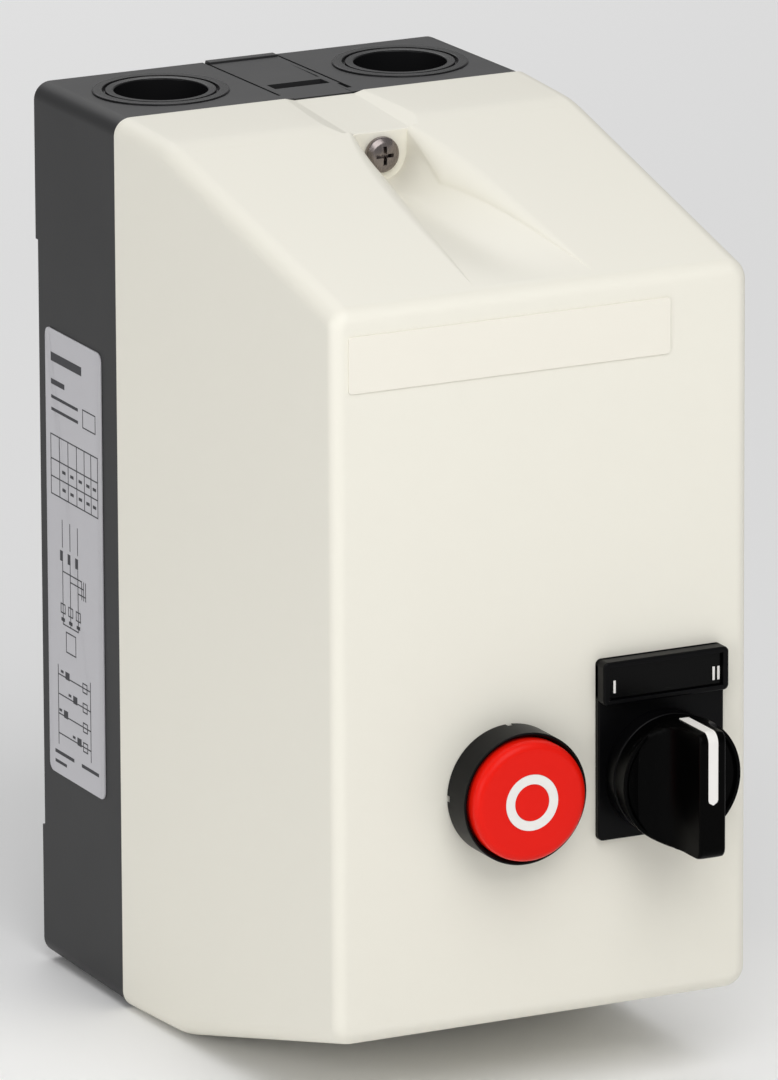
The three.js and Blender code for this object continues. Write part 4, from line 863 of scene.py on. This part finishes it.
class STARTER_OT_base(bpy.types.Operator):
    """Build the dark base housing with its knock-outs, feet, centre panel and screw pillar"""

    bl_idname = "starter.base"
    bl_label = "Base housing"

    KNOCKOUTS = [(x, up) for x in (-KNOCKOUT_X, KNOCKOUT_X) for up in (-1, 1)]

    def knockout(self, x, up):
        """Raised ring, groove and well of one cable knock-out."""
        level = up * mix(BASE_REAR_HALF[1], BASE_FRONT_HALF[1], 0.5)
        corners = [
            (0, -9.6), (12.45, -9.6, 0.4), (12.45, -2.6), (13.9, -2.6), (13.9, -1.0), (15, -1.0),
            (15, 0.5, 0.3), (12.75, 0.5, 0.2), (12.75, -0.3), (12.1, -0.3), (12.1, 0.45, 0.2),
            (10.25, 0.35, 0.35), (10.1, -8, 0.5), (0, -8)]
        corners = [(c[0], level + up * c[1], *c[2:]) for c in corners]
        return turned("knockout", corners, x, 0, charcoal_gloss(), upright_at=BASE_DEPTH / 2)

    def execute(self, context):
        settings = context.scene.starter_enclosure
        material = charcoal_plastic()
        bm = bmesh.new()
        tongue, tip = 1.5, BASE_DEPTH + 2.6
        rings = [base_outline(0, 0), base_outline(BASE_DEPTH, 0), base_outline(BASE_DEPTH, tongue)]
        for inset in (tongue, BASE_WALL):
            rings.append([(x, tip, z) for x, f, z in base_outline(BASE_DEPTH, inset)])
        rings.append(base_outline(BASE_FLOOR, BASE_WALL))
        skin(bm, rings)
        base = mesh_object("base_housing_detail", bm, material)

        # The back is relieved between the feet at the top, the bottom and the middle.
        fields = ((-60, 60, -69.15, -25), (-60, 60, 25, 64.15),
                  (-60, -25, -25.5, 25.5), (25, 60, -25.5, 25.5))
        tools = [block("relief", x0, x1, -3, FOOT_STEP, z0, z1) for x0, x1, z0, z1 in fields]
        for x, up in self.KNOCKOUTS:
            z0, z1 = sorted((up * 95.5, up * 104))
            tools.append(peg("hole", 13.6, z0, z1, x, 0, 64, upright_at=BASE_DEPTH / 2))
        carve(base, "DIFFERENCE", *tools)
        bosses = [peg("pillar", 5, 3, 41.5, 0, SCREW_Z)]
        for x in (-WALL_HOLE_X, WALL_HOLE_X):
            bosses.append(peg("boss", 4.5, 3, 9, x, RAIL_Z))
            bosses += [peg("boss", 6, 3, 6, x, z) for z in (-WALL_HOLE_Z, WALL_HOLE_Z)]
        bosses.append(peg("rest", 4, 3, 19.7, CONTACTOR_X["forward"], -30.65))
        carve(base, "UNION", *bosses)
        holes = [peg("bore", 3.65, 27, 43, 0, SCREW_Z), block("trim", -7, 7, 20, 43, 99.6, 104)]
        for x in (-WALL_HOLE_X, WALL_HOLE_X):
            holes.append(peg("hole", 1.8, 4.5, 10, x, RAIL_Z, 32))
            holes += [peg("hole", 2.75, -1, 7, x, z) for z in (-WALL_HOLE_Z, WALL_HOLE_Z)]
        carve(base, "DIFFERENCE", *holes)
        ease_edges(base, settings.base_edge, segments=3)

        # Centre panel: two grooves, a shallow field, a slot and a low ridge along the wall.
        above = 105
        carve(base, "DIFFERENCE",
              block("groove", -8.9, -8.3, -1, 38, 98.83, above),
              block("groove", 8.3, 8.9, -1, 38, 98.83, above),
              block("notch", 7.7, 8.9, 33, 38, 98.2, above),
              block("field", -7.3, 7.3, 3.4, 25, 99.28, above),
              block("slot", -6.6, 6.6, 27.3, 31.8, 97.5, above))
        ridge = slab("ridge", (-8.3, 8.3, 98.9, 99.6), (0.0, 2.4), 0.2, 0.2, material, rear_edge=0.2)
        base = joined("base_housing_detail", [base, ridge])
        settle(base, "enclosure", "charcoal_plastic", "base_housing")
        cups = joined("base_knockouts", [self.knockout(x, up) for x, up in self.KNOCKOUTS])
        settle(cups, "enclosure", "charcoal_plastic")
        return {"FINISHED"}


class STARTER_OT_rating_label(bpy.types.Operator):
    """Build the grey label on the base's left side, with a blank table and plain circuit drawings"""

    bl_idname = "starter.rating_label"
    bl_label = "Rating label"

    def bars(self):
        """The label's printing as (forward0, forward1, z0, z1) bars in its own plane."""
        out = []

        def line(u0, v0, u1, v1, width=0.28):
            half = width / 2
            out.append((min(u0, u1) - half, max(u0, u1) + half, min(v0, v1) - half, max(v0, v1) + half))

        def frame_lines(u0, u1, v0, v1):
            for v in (v0, v1):
                line(u0, v, u1, v)
            for u in (u0, u1):
                line(u, v0, u, v1)

        out.append((8, 24, 38.6, 40.6))
        out.append((8, 15, 33.4, 34.6))
        for v in (30.2, 27.4):
            out.append((8, 22, v, v + 0.7))
        frame_lines(24.5, 31, 27.2, 31.2)
        # Ratings table, left empty.
        for v in (8.5, 12.5, 16.5, 22):
            line(7.5, v, 32, v)
        for u in (7.5, 12, 16.5, 21, 25, 28.5, 32):
            line(u, 8.5, u, 22)
        for v in (10.2, 14.2):
            for u in (13.4, 17.6, 22, 26, 29.4):
                out.append((u, u + 1.7, v, v + 0.7))
        # Power circuit: three lines through two switches each, a relay and a motor.
        for k, u in enumerate((13, 17, 21)):
            line(u, 3.5, u, -2.5)
            line(u - 1.1, -3.6, u, -5.6, 0.35)
            line(u, -6, u, -20)
            line(u + 10 - 3 * k, -8, u + 10 - 3 * k, -12)
        line(13, -8, 23, -8)
        line(17, -9.6, 24, -9.6)
        line(21, -11.2, 25, -11.2)
        for u in (13, 17, 21):
            frame_lines(u - 1.1, u + 1.1, -17.5, -15.5)
            out.append((u - 0.9, u + 0.9, -19.4, -18.6))
        line(13, -20, 21, -20)
        frame_lines(14.5, 19.5, -26, -21.5)
        # Control circuit: rungs with contacts and coils.
        line(10, -30, 10, -48)
        line(27, -30, 27, -48)
        for v, gap in ((-32, 14), (-36.5, 18), (-41, 13), (-45.5, 20)):
            line(10, v, gap, v)
            line(gap, v - 0.2, gap + 1.8, v + 1.2, 0.35)
            line(gap + 2.2, v, 27, v)
            frame_lines(23, 25.2, v - 1, v + 1)
            out.append((gap - 2.6, gap - 1.2, v + 0.6, v + 1.2))
        out.append((8, 18, -50.4, -49.6))
        out.append((22, 31, -50.4, -49.6))
        out.append((8, 14, -52.6, -51.9))
        return out

    def execute(self, context):
        refined("rating_label", "enclosure", "label_film", label_film(), 0.06)
        bm = bmesh.new()
        for u0, u1, v0, v1 in self.bars():
            rings = []
            for lift in (0.29, 0.33):
                ring = []
                for u, v in ((u0, v0), (u1, v0), (u1, v1), (u0, v1)):
                    x = -mix(BASE_REAR_HALF[0], BASE_FRONT_HALF[0], u / BASE_DEPTH) - lift
                    ring.append((x, u, v))
                rings.append(ring)
            skin(bm, rings)
        ink = mesh_object("rating_label_print", bm, label_ink())
        attach(ink, "enclosure")
        return {"FINISHED"}


class STARTER_OT_cover(bpy.types.Operator):
    """Build the ivory cover with its slopes, trough, channel, inner rim, seal and blank nameplate"""

    bl_idname = "starter.cover"
    bl_label = "Front cover"

    def execute(self, context):
        fillet = context.scene.starter_enclosure.front_fillet
        rings = [cover_ring(COVER_REAR, 0.3, grow=0), cover_ring(COVER_REAR + 0.09, 0.09, grow=0)]
        rear = [42.5, 44, 48, 52, 56, 60, 63, 64, 64.6, 65.2, 65.8, 66.4, 67.4, 68.2, 68.7, 69.1, 69.4]
        rings += [cover_ring(f, 0, grow=0) for f in rear]
        # The channel's floor turns down into the screw pocket with a small radius.
        rings.append(cover_ring(POCKET_WALL - 0.12, 0, at=POCKET_WALL - 0.05, grow=0))
        brink = cover_ring(POCKET_WALL, 0, at=POCKET_WALL - 0.05, grow=0)
        on_floor = [abs(x) <= CHANNEL_HALF + 0.01 and z > SCREW_Z for x, f, z in brink]
        rings.append([(x, f, z - 0.15 * low) for (x, f, z), low in zip(brink, on_floor)])
        for i in range(49):
            share = (i / 48) ** 1.5
            rings.append(cover_ring(mix(POCKET_WALL, TROUGH_FRONT, share), 0, grow=0))
        edge = BODY_DEPTH - fillet
        rings.append(cover_ring(min(TROUGH_FRONT + 0.7, edge - 0.3), 0))
        for i in range(9):
            a = math.pi / 2 * i / 8
            rings.append(cover_ring(edge + fillet * math.sin(a), fillet * (1 - math.cos(a))))
        rings.append(cover_ring(BODY_DEPTH, fillet + 0.5))

        inner_front = BODY_DEPTH - COVER_WALL
        rounding = ((0, 1.0), (0.25, 0.3), (0.9, 0))
        inner = [cover_ring(inner_front - back, COVER_WALL + inset) for back, inset in rounding]
        skin_rear = POCKET_WALL - 2.2
        for i in range(25):
            share = 1 - (i / 24) ** 0.7
            inner.append(cover_ring(mix(skin_rear, 140.0, share), COVER_WALL, grow=2.2))
        inner += [cover_ring(f, COVER_WALL) for f in (skin_rear - 0.01, 65.2, 60, 48)]
        inner += [cover_ring(46.0, COVER_WALL), cover_ring(46.0, COVER_LIP),
                  cover_ring(COVER_REAR, COVER_LIP)]

        bm = bmesh.new()
        made = skin(bm, rings, first=False, last=False)
        inside = skin(bm, inner, first=False, last=False)
        first, last = made[0], inside[-1]
        for i in range(len(first)):
            j = (i + 1) % len(first)
            bm.faces.new((last[i], last[j], first[j], first[i]))
        holes = [(x, CONTROL_Z, PANEL_BORE) for x in (STOP_X, SELECTOR_X)]
        outer_rims = face_with_holes(bm, made[-1], BODY_DEPTH, holes)
        inner_rims = face_with_holes(bm, inside[0], inner_front, holes)
        for one, two in zip(outer_rims, inner_rims):
            for i in range(len(one)):
                j = (i + 1) % len(one)
                bm.faces.new((one[i], one[j], two[j], two[i]))
        cover = mesh_object("front_cover_detail", bm, ivory_plastic(), sharp=40)

        pillar = turned(
            "pillar", [(2.3, 42.5, 0.2), (4.2, 42.5, 0.4), (4.2, 69.0), (2.3, 69.0)], 0, SCREW_Z, None)
        tabs = []
        for x in (-12, 12):
            sides = (x - 4, x + 4)
            tabs.append(slab("tab", (*sides, -96.3, -94.7), (36, 52), 0.4, 0.3, None, rear_edge=0.4))
            tabs.append(slab("root", (*sides, -98.0, -94.7), (46.6, 52), 0.4, 0.3, None, rear_edge=0.3))
        cover = joined("front_cover_detail", [cover, pillar, *tabs])
        settle(cover, "cover", "ivory_plastic", "front_cover")
        refined("cover_seal", "cover", "seal_rubber", seal_rubber(), 0.2)
        plate = slab("front_nameplate_detail", (-45.6, 30.2, 62.2, 74.5), (146.05, 146.35), 0.8, 0.08,
                     nameplate_film())
        settle(plate, "cover", "nameplate_film", "front_nameplate")
        return {"FINISHED"}


class STARTER_OT_cover_screw(bpy.types.Operator):
    """Build the cover's pan-head screw and the brass insert that takes it"""

    bl_idname = "starter.cover_screw"
    bl_label = "Cover screw"

    def execute(self, context):
        seat = POCKET_WALL + 0.15
        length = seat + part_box("cover_screw")[1].y / MM
        screw = pan_screw("cover_screw_detail", 0, SCREW_Z, seat, 4.0, 2.3, 2.0, length, screw_steel())
        settle(screw, "cover_screw", "plated_steel", "cover_screw")
        corners = [(2.15, 27.5, 0.2), (3.5, 27.5, 0.3)]
        for k in range(10):
            corners += [(3.5, 28.6 + k, 0.1), (3.3, 28.9 + k), (3.3, 29.2 + k), (3.5, 29.5 + k, 0.1)]
        corners += [(3.5, 39.5, 0.3), (2.15, 39.5, 0.2)]
        insert = turned("cover_screw_insert_detail", corners, 0, SCREW_Z, brass(), steps=64)
        settle(insert, "enclosure", "brass", "cover_screw_insert")
        return {"FINISHED"}


# ------------------------------------------------------------------ controls


def panel_seal(node, x):
    """A flat rubber ring between a control and the cover."""
    rear, front = SEAL_BAND
    corners = [(11.65, rear, 0.2), (13.55, rear, 0.2), (13.55, front, 0.2), (11.65, front, 0.2)]
    seal = turned(node + "_detail", corners, x, CONTROL_Z, seal_rubber())
    settle(seal, "cover", "seal_rubber", node)


def panel_nut(node, x):
    """A ring nut with grip grooves that clamps a control from inside."""
    corners = [(11.1, 137.2, 0.4), (14.8, 137.2, 0.6), (14.8, 143.2, 0.4), (11.1, 143.2, 0.3)]
    nut = turned(node + "_detail", corners, x, CONTROL_Z, black_plastic())
    tools = []
    for i in range(12):
        a = 2 * math.pi * (i + 0.5) / 12
        tools.append(peg("groove", 1.1, 136, 141.2, x + 14.9 * math.cos(a),
                         CONTROL_Z + 14.9 * math.sin(a), 16))
    carve(nut, "DIFFERENCE", *tools)
    ease_edges(nut, 0.08, segments=1)
    settle(nut, "cover", "black_plastic", node)


class STARTER_OT_stop_button(bpy.types.Operator):
    """Build the red stop and reset button with its bezel, ring mark, seal, nut, rod and spring"""

    bl_idname = "starter.stop_button"
    bl_label = "Stop button"

    def execute(self, context):
        settings = context.scene.starter_controls
        black = black_plastic()
        corners = [
            (4.6, 130, 0.2), (10.9, 130, 0.4), (10.9, 146.9), (14.35, 146.9, 0.1), (14.35, 146.3),
            (14.5, 146.3, 0.1), (14.5, 154.5, 0.7), (13.9, 154.35, 0.2), (13.5, 153.4, 0.3),
            (13.5, 147.8, 0.3), (9, 147.8, 0.3), (9, 131.5, 0.3), (4.6, 131.5, 0.2)]
        bezel = turned("stop_bezel_detail", corners, STOP_X, CONTROL_Z, black)
        tools = []
        for u, v in ((1, 0), (0, 1), (-1, 0), (0, -1)):
            x, z = STOP_X + 14.9 * u, CONTROL_Z + 14.9 * v
            tools.append(block("notch", x - 0.7, x + 0.7, 145, 147.6, z - 0.7, z + 0.7))
        carve(bezel, "DIFFERENCE", *tools)
        bezel.data.shade_smooth()
        bezel.data.set_sharp_from_angle(angle=math.radians(35))
        settle(bezel, "cover", "black_plastic", "stop_bezel")

        edge = settings.cap_edge
        corners = [
            (0, 128), (4.2, 128, 0.4), (4.2, 155.6), (11.65, 155.6), (11.65, 152.2, 0.2),
            (13.25, 152.2, 0.3), (13.25, 157.5, edge), (6.2, 157.5, 0.08), (6.2, 157.1), (4.0, 157.1),
            (4.0, 157.5, 0.08), (0, 157.5)]
        cap = turned("stop_button_cap_detail", corners, STOP_X, CONTROL_Z, red_plastic())
        settle(cap, "stop_button", "red_plastic", "stop_button_cap")
        ring = turned("stop_button_ring_detail", [
            (4.05, 157.12), (6.15, 157.12), (6.15, 157.52, 0.06), (4.05, 157.52, 0.06)],
            STOP_X, CONTROL_Z, white_plastic())
        settle(ring, "stop_button", "white_plastic", "stop_button_ring")
        rod = turned("stop_push_rod_detail", [
            (0, 88.7), (2.4, 88.7, 0.4), (2.4, 124.7, 0.4), (4, 125.3, 0.3), (4, 127.7, 0.3), (0, 127.7)],
            STOP_X, CONTROL_Z, black)
        settle(rod, "stop_button", "black_plastic", "stop_push_rod")
        panel_seal("stop_panel_seal", STOP_X)
        panel_nut("stop_panel_nut", STOP_X)
        bm = bmesh.new()
        ends = (131.7, 155.4)
        add_coil(bm, 6.6, 0.5, *ends, STOP_X, CONTROL_Z, 6)
        coil = mesh_object("stop_return_spring_detail", bm, spring_steel())
        settle(coil, "cover", "spring_steel", "stop_return_spring")
        shorten(coil)
        return {"FINISHED"}


class STARTER_OT_selector(bpy.types.Operator):
    """Build the two-way selector: legend holder, strip with its marks, collar, handle and pointer"""

    bl_idname = "starter.selector"
    bl_label = "Selector switch"

    RADIUS = 14.0
    RIM = 157.3
    FRONT = 171.3
    POINTER = 1.15

    def grip(self, bm):
        """The bar across the handle: steep sides that flare into the disc, with rounded ends."""
        rings = []
        count = 49
        for k in range(count):
            z = -math.cos(math.pi * k / (count - 1)) * (self.RADIUS - 0.12)
            reach = math.sqrt(max(self.RADIUS**2 - z * z, 0.05)) - 0.05
            over = max(abs(z) - (self.RADIUS - 2.4), 0)
            front = self.FRONT - (2.4 - math.sqrt(max(2.4**2 - over * over, 0.01)))
            foot = self.RIM - 1.4
            side = []
            for i in range(15):
                rise = (front - 0.7 - foot) * (i / 14) ** 1.2
                x = 3.1 + (12.3 - 3.1) * math.exp(-rise / 2.5)
                side.append((min(x, reach), foot + rise))
            half = side[-1][0]
            ease = min(0.7, half * 0.7)
            for i in range(1, 6):
                a = math.pi / 2 * i / 5
                side.append((half - ease * (1 - math.cos(a)), front - 0.7 + 0.7 * math.sin(a)))
            ring = side + [(-x, f) for x, f in side[::-1]]
            rings.append([(SELECTOR_X + x, f, CONTROL_Z + z) for x, f in ring])
        skin(bm, rings)

    def pointer(self, bm):
        """A raised band over the grip's upper end and along its ridge, with a rounded tip."""
        r = 2.4
        path = []
        for i in range(9):
            path.append((mix(self.RIM + 0.7, self.FRONT - r, i / 8), self.RADIUS, 1, 0))
        for i in range(1, 9):
            a = math.pi / 2 * i / 8
            path.append((self.FRONT - r + r * math.sin(a), self.RADIUS - r + r * math.cos(a),
                         math.cos(a), math.sin(a)))
        tip = self.RADIUS - 15.8
        for i in range(1, 25):
            path.append((self.FRONT, mix(self.RADIUS - r, tip, i / 24), 0, 1))
        rings = []
        for f, z, up, out in path:
            half = self.POINTER
            left = z - tip if out == 1 else 9
            if left < half:
                half = math.sqrt(max(half**2 - (half - left) ** 2, 0.01))
            ring = []
            for side, lift in ((-1, -0.5), (-1, 0.02), (-0.9, 0.06), (0.9, 0.06), (1, 0.02), (1, -0.5)):
                ring.append((SELECTOR_X + side * half, f + out * lift, CONTROL_Z + z + up * lift))
            rings.append(ring)
        skin(bm, rings)

    def execute(self, context):
        black = black_plastic()
        left, right = SELECTOR_X - 15, SELECTOR_X + 15
        holder = slab("selector_legend_holder_detail", (left, right, -42.7, -2.7), (146.05, 147.55),
                      1.2, 0.35, black)
        head = slab("head", (left, right, -12.3, -2.7), (146.05, 150.05), 1.2, 0.5, black)
        window = block("window", SELECTOR_X - 13.6, SELECTOR_X + 13.6, 148.55, 151, -11.1, -3.9)
        carve(head, "DIFFERENCE", window)
        turns = context.scene.starter_controls.turned_steps
        bore = peg("bore", 11.2, 145, 149, SELECTOR_X, CONTROL_Z, turns)
        carve(holder, "DIFFERENCE", bore)
        holder = joined("selector_legend_holder_detail", [holder, head])
        settle(holder, "cover", "black_plastic", "selector_legend_holder")
        strip = slab("selector_legend_strip_detail", (SELECTOR_X - 13.5, SELECTOR_X + 13.5, -11, -4),
                     (148.6, 149.2), 0.3, 0.15, legend_film())
        settle(strip, "cover", "legend_film", "selector_legend_strip")
        bm = bmesh.new()
        for x, z0, z1 in ((15.35, -9.8, -7.0), (39.1, -10.0, -7.0), (40.25, -10.0, -7.0)):
            add_slab(bm, (x - 0.28, x + 0.28, z0, z1), (149.15, 149.25), 0.1, 0.03, steps=2)
        marks = mesh_object("selector_legend_marks", bm, white_plastic())
        attach(marks, "cover")

        collar = turned("selector_collar_detail", [
            (6.8, 124, 0.2), (10.9, 124, 0.4), (10.9, 147.65), (13.4, 147.65, 0.2), (13.4, 151.55, 0.4),
            (6.8, 151.55, 0.2)], SELECTOR_X, CONTROL_Z, black)
        settle(collar, "cover", "black_plastic", "selector_collar")
        panel_seal("selector_panel_seal", SELECTOR_X)
        panel_nut("selector_panel_nut", SELECTOR_X)

        bm = bmesh.new()
        turn_profile(bm, [
            (0, 124.3), (6.5, 124.3, 0.4), (6.5, 151.85), (13.3, 151.85, 0.2), (13.35, 152.6, 0.2),
            (14.0, self.RIM - 0.35, 0.12), (14.0, self.RIM, 0.15), (13.2, self.RIM, 0.15),
            (12.6, self.RIM - 0.7, 0.4), (0, self.RIM - 1.1)], SELECTOR_X, CONTROL_Z)
        self.grip(bm)
        handle = mesh_object("selector_handle_detail", bm, handle_plastic(), sharp=40)
        settle(handle, "selector", "black_plastic", "selector_handle")
        bm = bmesh.new()
        self.pointer(bm)
        pointer = mesh_object("selector_marker_detail", bm, white_plastic(), sharp=50)
        settle(pointer, "selector", "white_plastic", "selector_marker")
        refined("selector_yoke", "cover", "black_plastic", black, 0.5, segments=3)
        return {"FINISHED"}


class STARTER_OT_contact_blocks(bpy.types.Operator):
    """Build the two contact blocks behind the selector, their plungers and terminal screws"""

    bl_idname = "starter.contact_blocks"
    bl_label = "Contact blocks"

    def execute(self, context):
        for side, x in (("left", SELECTOR_X - 5), ("right", SELECTOR_X + 5)):
            refined("contact_block_" + side, "cover", "device_plastic", device_plastic(), 0.35, segments=3)
            plunger = turned("contact_plunger_" + side + "_detail", [
                (0, 110), (1.6, 110, 0.2), (1.6, 123.7, 0.7), (0, 123.7)], x, CONTROL_Z, cream_plastic(),
                steps=48)
            settle(plunger, "contact_plunger_" + side, "cream_plastic", "contact_plunger_" + side)
            screw = pan_screw("screw", 0, 0, 0, 2.3, 1.2, 1.2, 3, plated_steel())
            screws = repeated("contact_block_" + side + "_screws", screw,
                              [(x, 118.2, CONTROL_Z + v) for v in (-15.5, 15.5)])
            settle(screws, "cover", "plated_steel")
        return {"FINISHED"}


# ------------------------------------------------------------------ devices inside


class STARTER_OT_contactors(bpy.types.Operator):
    """Build the forward and reverse contactors, the interlock between them and the link strips"""

    bl_idname = "starter.contactors"
    bl_label = "Contactors"

    def execute(self, context):
        edge = context.scene.starter_devices.edge
        for way, x in CONTACTOR_X.items():
            refined(way + "_contactor_body", "enclosure", "device_plastic", device_plastic(), edge, 3)
            refined(way + "_magnet_core", "enclosure", "core_steel", core_steel(), 0.2)
            refined(way + "_magnet_coil", "enclosure", "copper_winding", copper_winding(), 0.6, 3)
            refined(way + "_armature", way + "_contacts", "core_steel", core_steel(), 0.3)
            refined(way + "_contact_carrier", way + "_contacts", "cream_plastic", cream_plastic(), 0.3)
            low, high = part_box(way + "_return_spring")
            bm = bmesh.new()
            ends = (-high.y / MM, -low.y / MM)
            add_coil(bm, 5.2, 0.4, *ends, x, RAIL_Z, 2.5)
            coil = mesh_object(way + "_return_spring_detail", bm, spring_steel())
            settle(coil, "enclosure", "spring_steel", way + "_return_spring")
            shorten(coil)
            screw = pan_screw("screw", 0, 0, 0, 2.5, 1.4, 1.4, 3, plated_steel())
            places = [(x + pole, 55.4, RAIL_Z + v) for pole in POLES for v in (-23, 23)]
            screws = repeated(way + "_terminal_screws", screw, places)
            settle(screws, "enclosure", "plated_steel")
            tile = slab(way + "_contactor_tile", (x - 19, x + 19, 37.5, 44.5), (69.95, 70.35), 0.6, 0.15,
                        nameplate_film())
            settle(tile, "enclosure", "nameplate_film")
        refined("mechanical_interlock", "enclosure", "cream_plastic", cream_plastic(), 0.2)
        for side in ("line", "load"):
            refined(side + "_link_strip", "enclosure", "device_plastic", device_plastic(), 0.25)
        return {"FINISHED"}


class STARTER_OT_relay(bpy.types.Operator):
    """Build the overload relay with its setting dial, reset button and terminal screws"""

    bl_idname = "starter.relay"
    bl_label = "Overload relay"

    def execute(self, context):
        edge = context.scene.starter_devices.edge
        refined("overload_relay_body", "enclosure", "device_plastic", device_plastic(), edge, 3)
        refined("relay_setting_dial", "relay_dial", "cream_plastic", cream_plastic(), 0.2)
        button = turned("relay_reset_button_detail", [
            (0, 78), (3.2, 78, 0.3), (3.2, 88.4, 0.6), (0, 88.4)], STOP_X, CONTROL_Z, red_plastic())
        settle(button, "relay_reset", "red_plastic", "relay_reset_button")
        screw = pan_screw("screw", 0, 0, 0, 2.5, 1.4, 1.4, 3, plated_steel())
        places = [(CONTACTOR_X["forward"] + pole, 61.6, -52.9) for pole in POLES]
        screws = repeated("relay_terminal_screws", screw, places)
        settle(screws, "enclosure", "plated_steel")
        bm = bmesh.new()
        for k in range(9):
            a = math.radians(210 - 30 * k)
            x, z = -31.7 + 8.2 * math.cos(a), -26.6 + 8.2 * math.sin(a)
            add_slab(bm, (x - 0.35, x + 0.35, z - 0.35, z + 0.35), (83.95, 84.1), 0.15, 0.05, steps=2)
        marks = mesh_object("relay_dial_marks", bm, white_plastic())
        attach(marks, "enclosure")
        return {"FINISHED"}


class STARTER_OT_rail(bpy.types.Operator):
    """Build the mounting rail with its screws, and the earth terminal"""

    bl_idname = "starter.rail"
    bl_label = "Rail and earth terminal"

    def execute(self, context):
        refined("mounting_rail", "enclosure", "plated_steel", plated_steel(), 0.25)
        for side, x in (("left", -38), ("right", 38)):
            low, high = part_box("rail_screw_" + side)
            front = -low.y / MM
            screw = pan_screw("rail_screw_" + side + "_detail", x, RAIL_Z, front - 2.2, 3.4, 2.2, 1.6,
                              front - 2.2 + high.y / MM, plated_steel())
            settle(screw, "enclosure", "plated_steel", "rail_screw_" + side)
        refined("earth_terminal", "enclosure", "brass", brass(), 0.4, 3)
        low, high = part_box("earth_terminal_screw")
        front = -low.y / MM
        screw = pan_screw("earth_terminal_screw_detail", 30, -58, front - 2, 3.8, 2, 1.9,
                          front - 2 + high.y / MM, plated_steel())
        settle(screw, "enclosure", "plated_steel", "earth_terminal_screw")
        return {"FINISHED"}


# ------------------------------------------------------------------ stage


class STARTER_OT_stage(bpy.types.Operator):
    """Set up the plain floor, the soft lights and the camera"""

    bl_idname = "starter.stage"
    bl_label = "Stage"

    def light(self, name, place, aim, power, size):
        """A soft rectangular light turned towards the point it is aimed at."""
        data = bpy.data.lights.new(name, "AREA")
        data.energy = power
        data.shape = "RECTANGLE"
        data.size, data.size_y = size
        lamp = bpy.data.objects.new(name, data)
        bpy.context.scene.collection.objects.link(lamp)
        lamp.location = place
        lamp.rotation_euler = (Vector(aim) - Vector(place)).to_track_quat("-Z", "Y").to_euler()

    def execute(self, context):
        scene = context.scene
        settings = scene.starter_stage
        bottom = CAD_BOX[0][2] - 0.0002
        bm = bmesh.new()
        bmesh.ops.create_circle(bm, cap_ends=True, radius=12.0, segments=96)
        floor = mesh_object("floor", bm, None)
        floor.location = (0, 0, bottom)
        material = bpy.data.materials.new("floor")
        material.use_nodes = True
        shader = material.node_tree.nodes["Principled BSDF"]
        shader.inputs["Base Color"].default_value = tuple(settings.floor_color)
        shader.inputs["Roughness"].default_value = 0.9
        shader.inputs["Specular IOR Level"].default_value = 0.1
        floor.data.materials.append(material)

        middle = (0.0, -0.07, 0.0)
        self.light("front light", (-0.1, -0.7, 0.65), middle, settings.front_power, (0.7, 0.7))
        self.light("side light", (-1.8, -0.9, 0.4), middle, settings.side_power, (1.2, 1.2))
        self.light("floor light", (0.3, 1.7, 1.3), (0.3, 1.4, 0.0), settings.floor_power, (1.8, 1.8))
        world = bpy.data.worlds.new("even light")
        world.use_nodes = True
        world.node_tree.nodes["Background"].inputs["Color"].default_value = (1, 1, 1, 1)
        world.node_tree.nodes["Background"].inputs["Strength"].default_value = settings.sky
        scene.world = world
        scene.view_settings.view_transform = "Standard"

        camera_data = bpy.data.cameras.new("camera")
        camera_data.sensor_fit = "VERTICAL"
        camera_data.sensor_height = 36.0
        camera_data.lens = 427.36
        camera_data.clip_end = 100.0
        camera = bpy.data.objects.new("camera", camera_data)
        scene.collection.objects.link(camera)
        place = Vector((-1.18870, -2.46930, 0.73920))
        aim = Vector((0.00639, -0.060, 0.00336))
        turn = (aim - place).to_track_quat("-Z", "Y").to_matrix()
        roll = Matrix.Rotation(math.radians(-0.28), 3, "Z")
        camera.matrix_world = Matrix.Translation(place) @ (turn @ roll).to_4x4()
        scene.camera = camera
        return {"FINISHED"}


# ------------------------------------------------------------------ panel and registration

STEPS = (STARTER_OT_base, STARTER_OT_rating_label, STARTER_OT_cover, STARTER_OT_cover_screw,
         STARTER_OT_stop_button, STARTER_OT_selector, STARTER_OT_contact_blocks,
         STARTER_OT_contactors, STARTER_OT_relay, STARTER_OT_rail, STARTER_OT_stage)
SETTINGS = {"starter_enclosure": EnclosureSettings, "starter_controls": ControlSettings,
            "starter_devices": DeviceSettings, "starter_stage": StageSettings}


class STARTER_PT_panel(bpy.types.Panel):
    """Sizes and colours of the motor starter, with a button for each group of pieces"""

    bl_idname = "STARTER_PT_panel"
    bl_label = "Motor starter"
    bl_space_type = "VIEW_3D"
    bl_region_type = "UI"
    bl_category = "Starter"

    def draw(self, context):
        for attribute, kind in SETTINGS.items():
            box = self.layout.box()
            for label in kind.__annotations__:
                box.prop(getattr(context.scene, attribute), label)
        for step in STEPS:
            self.layout.operator(step.bl_idname)


def register():
    for kind in (*SETTINGS.values(), *STEPS, STARTER_PT_panel):
        bpy.utils.register_class(kind)
    for attribute, kind in SETTINGS.items():
        setattr(bpy.types.Scene, attribute, PointerProperty(type=kind))


def unregister():
    for attribute in SETTINGS:
        delattr(bpy.types.Scene, attribute)
    for kind in (STARTER_PT_panel, *reversed(STEPS), *reversed(SETTINGS.values())):
        bpy.utils.unregister_class(kind)


def main():
    register()
    for step in STEPS:
        group, name = step.bl_idname.split(".")
        getattr(getattr(bpy.ops, group), name)()


if __name__ == "__main__":
    main()
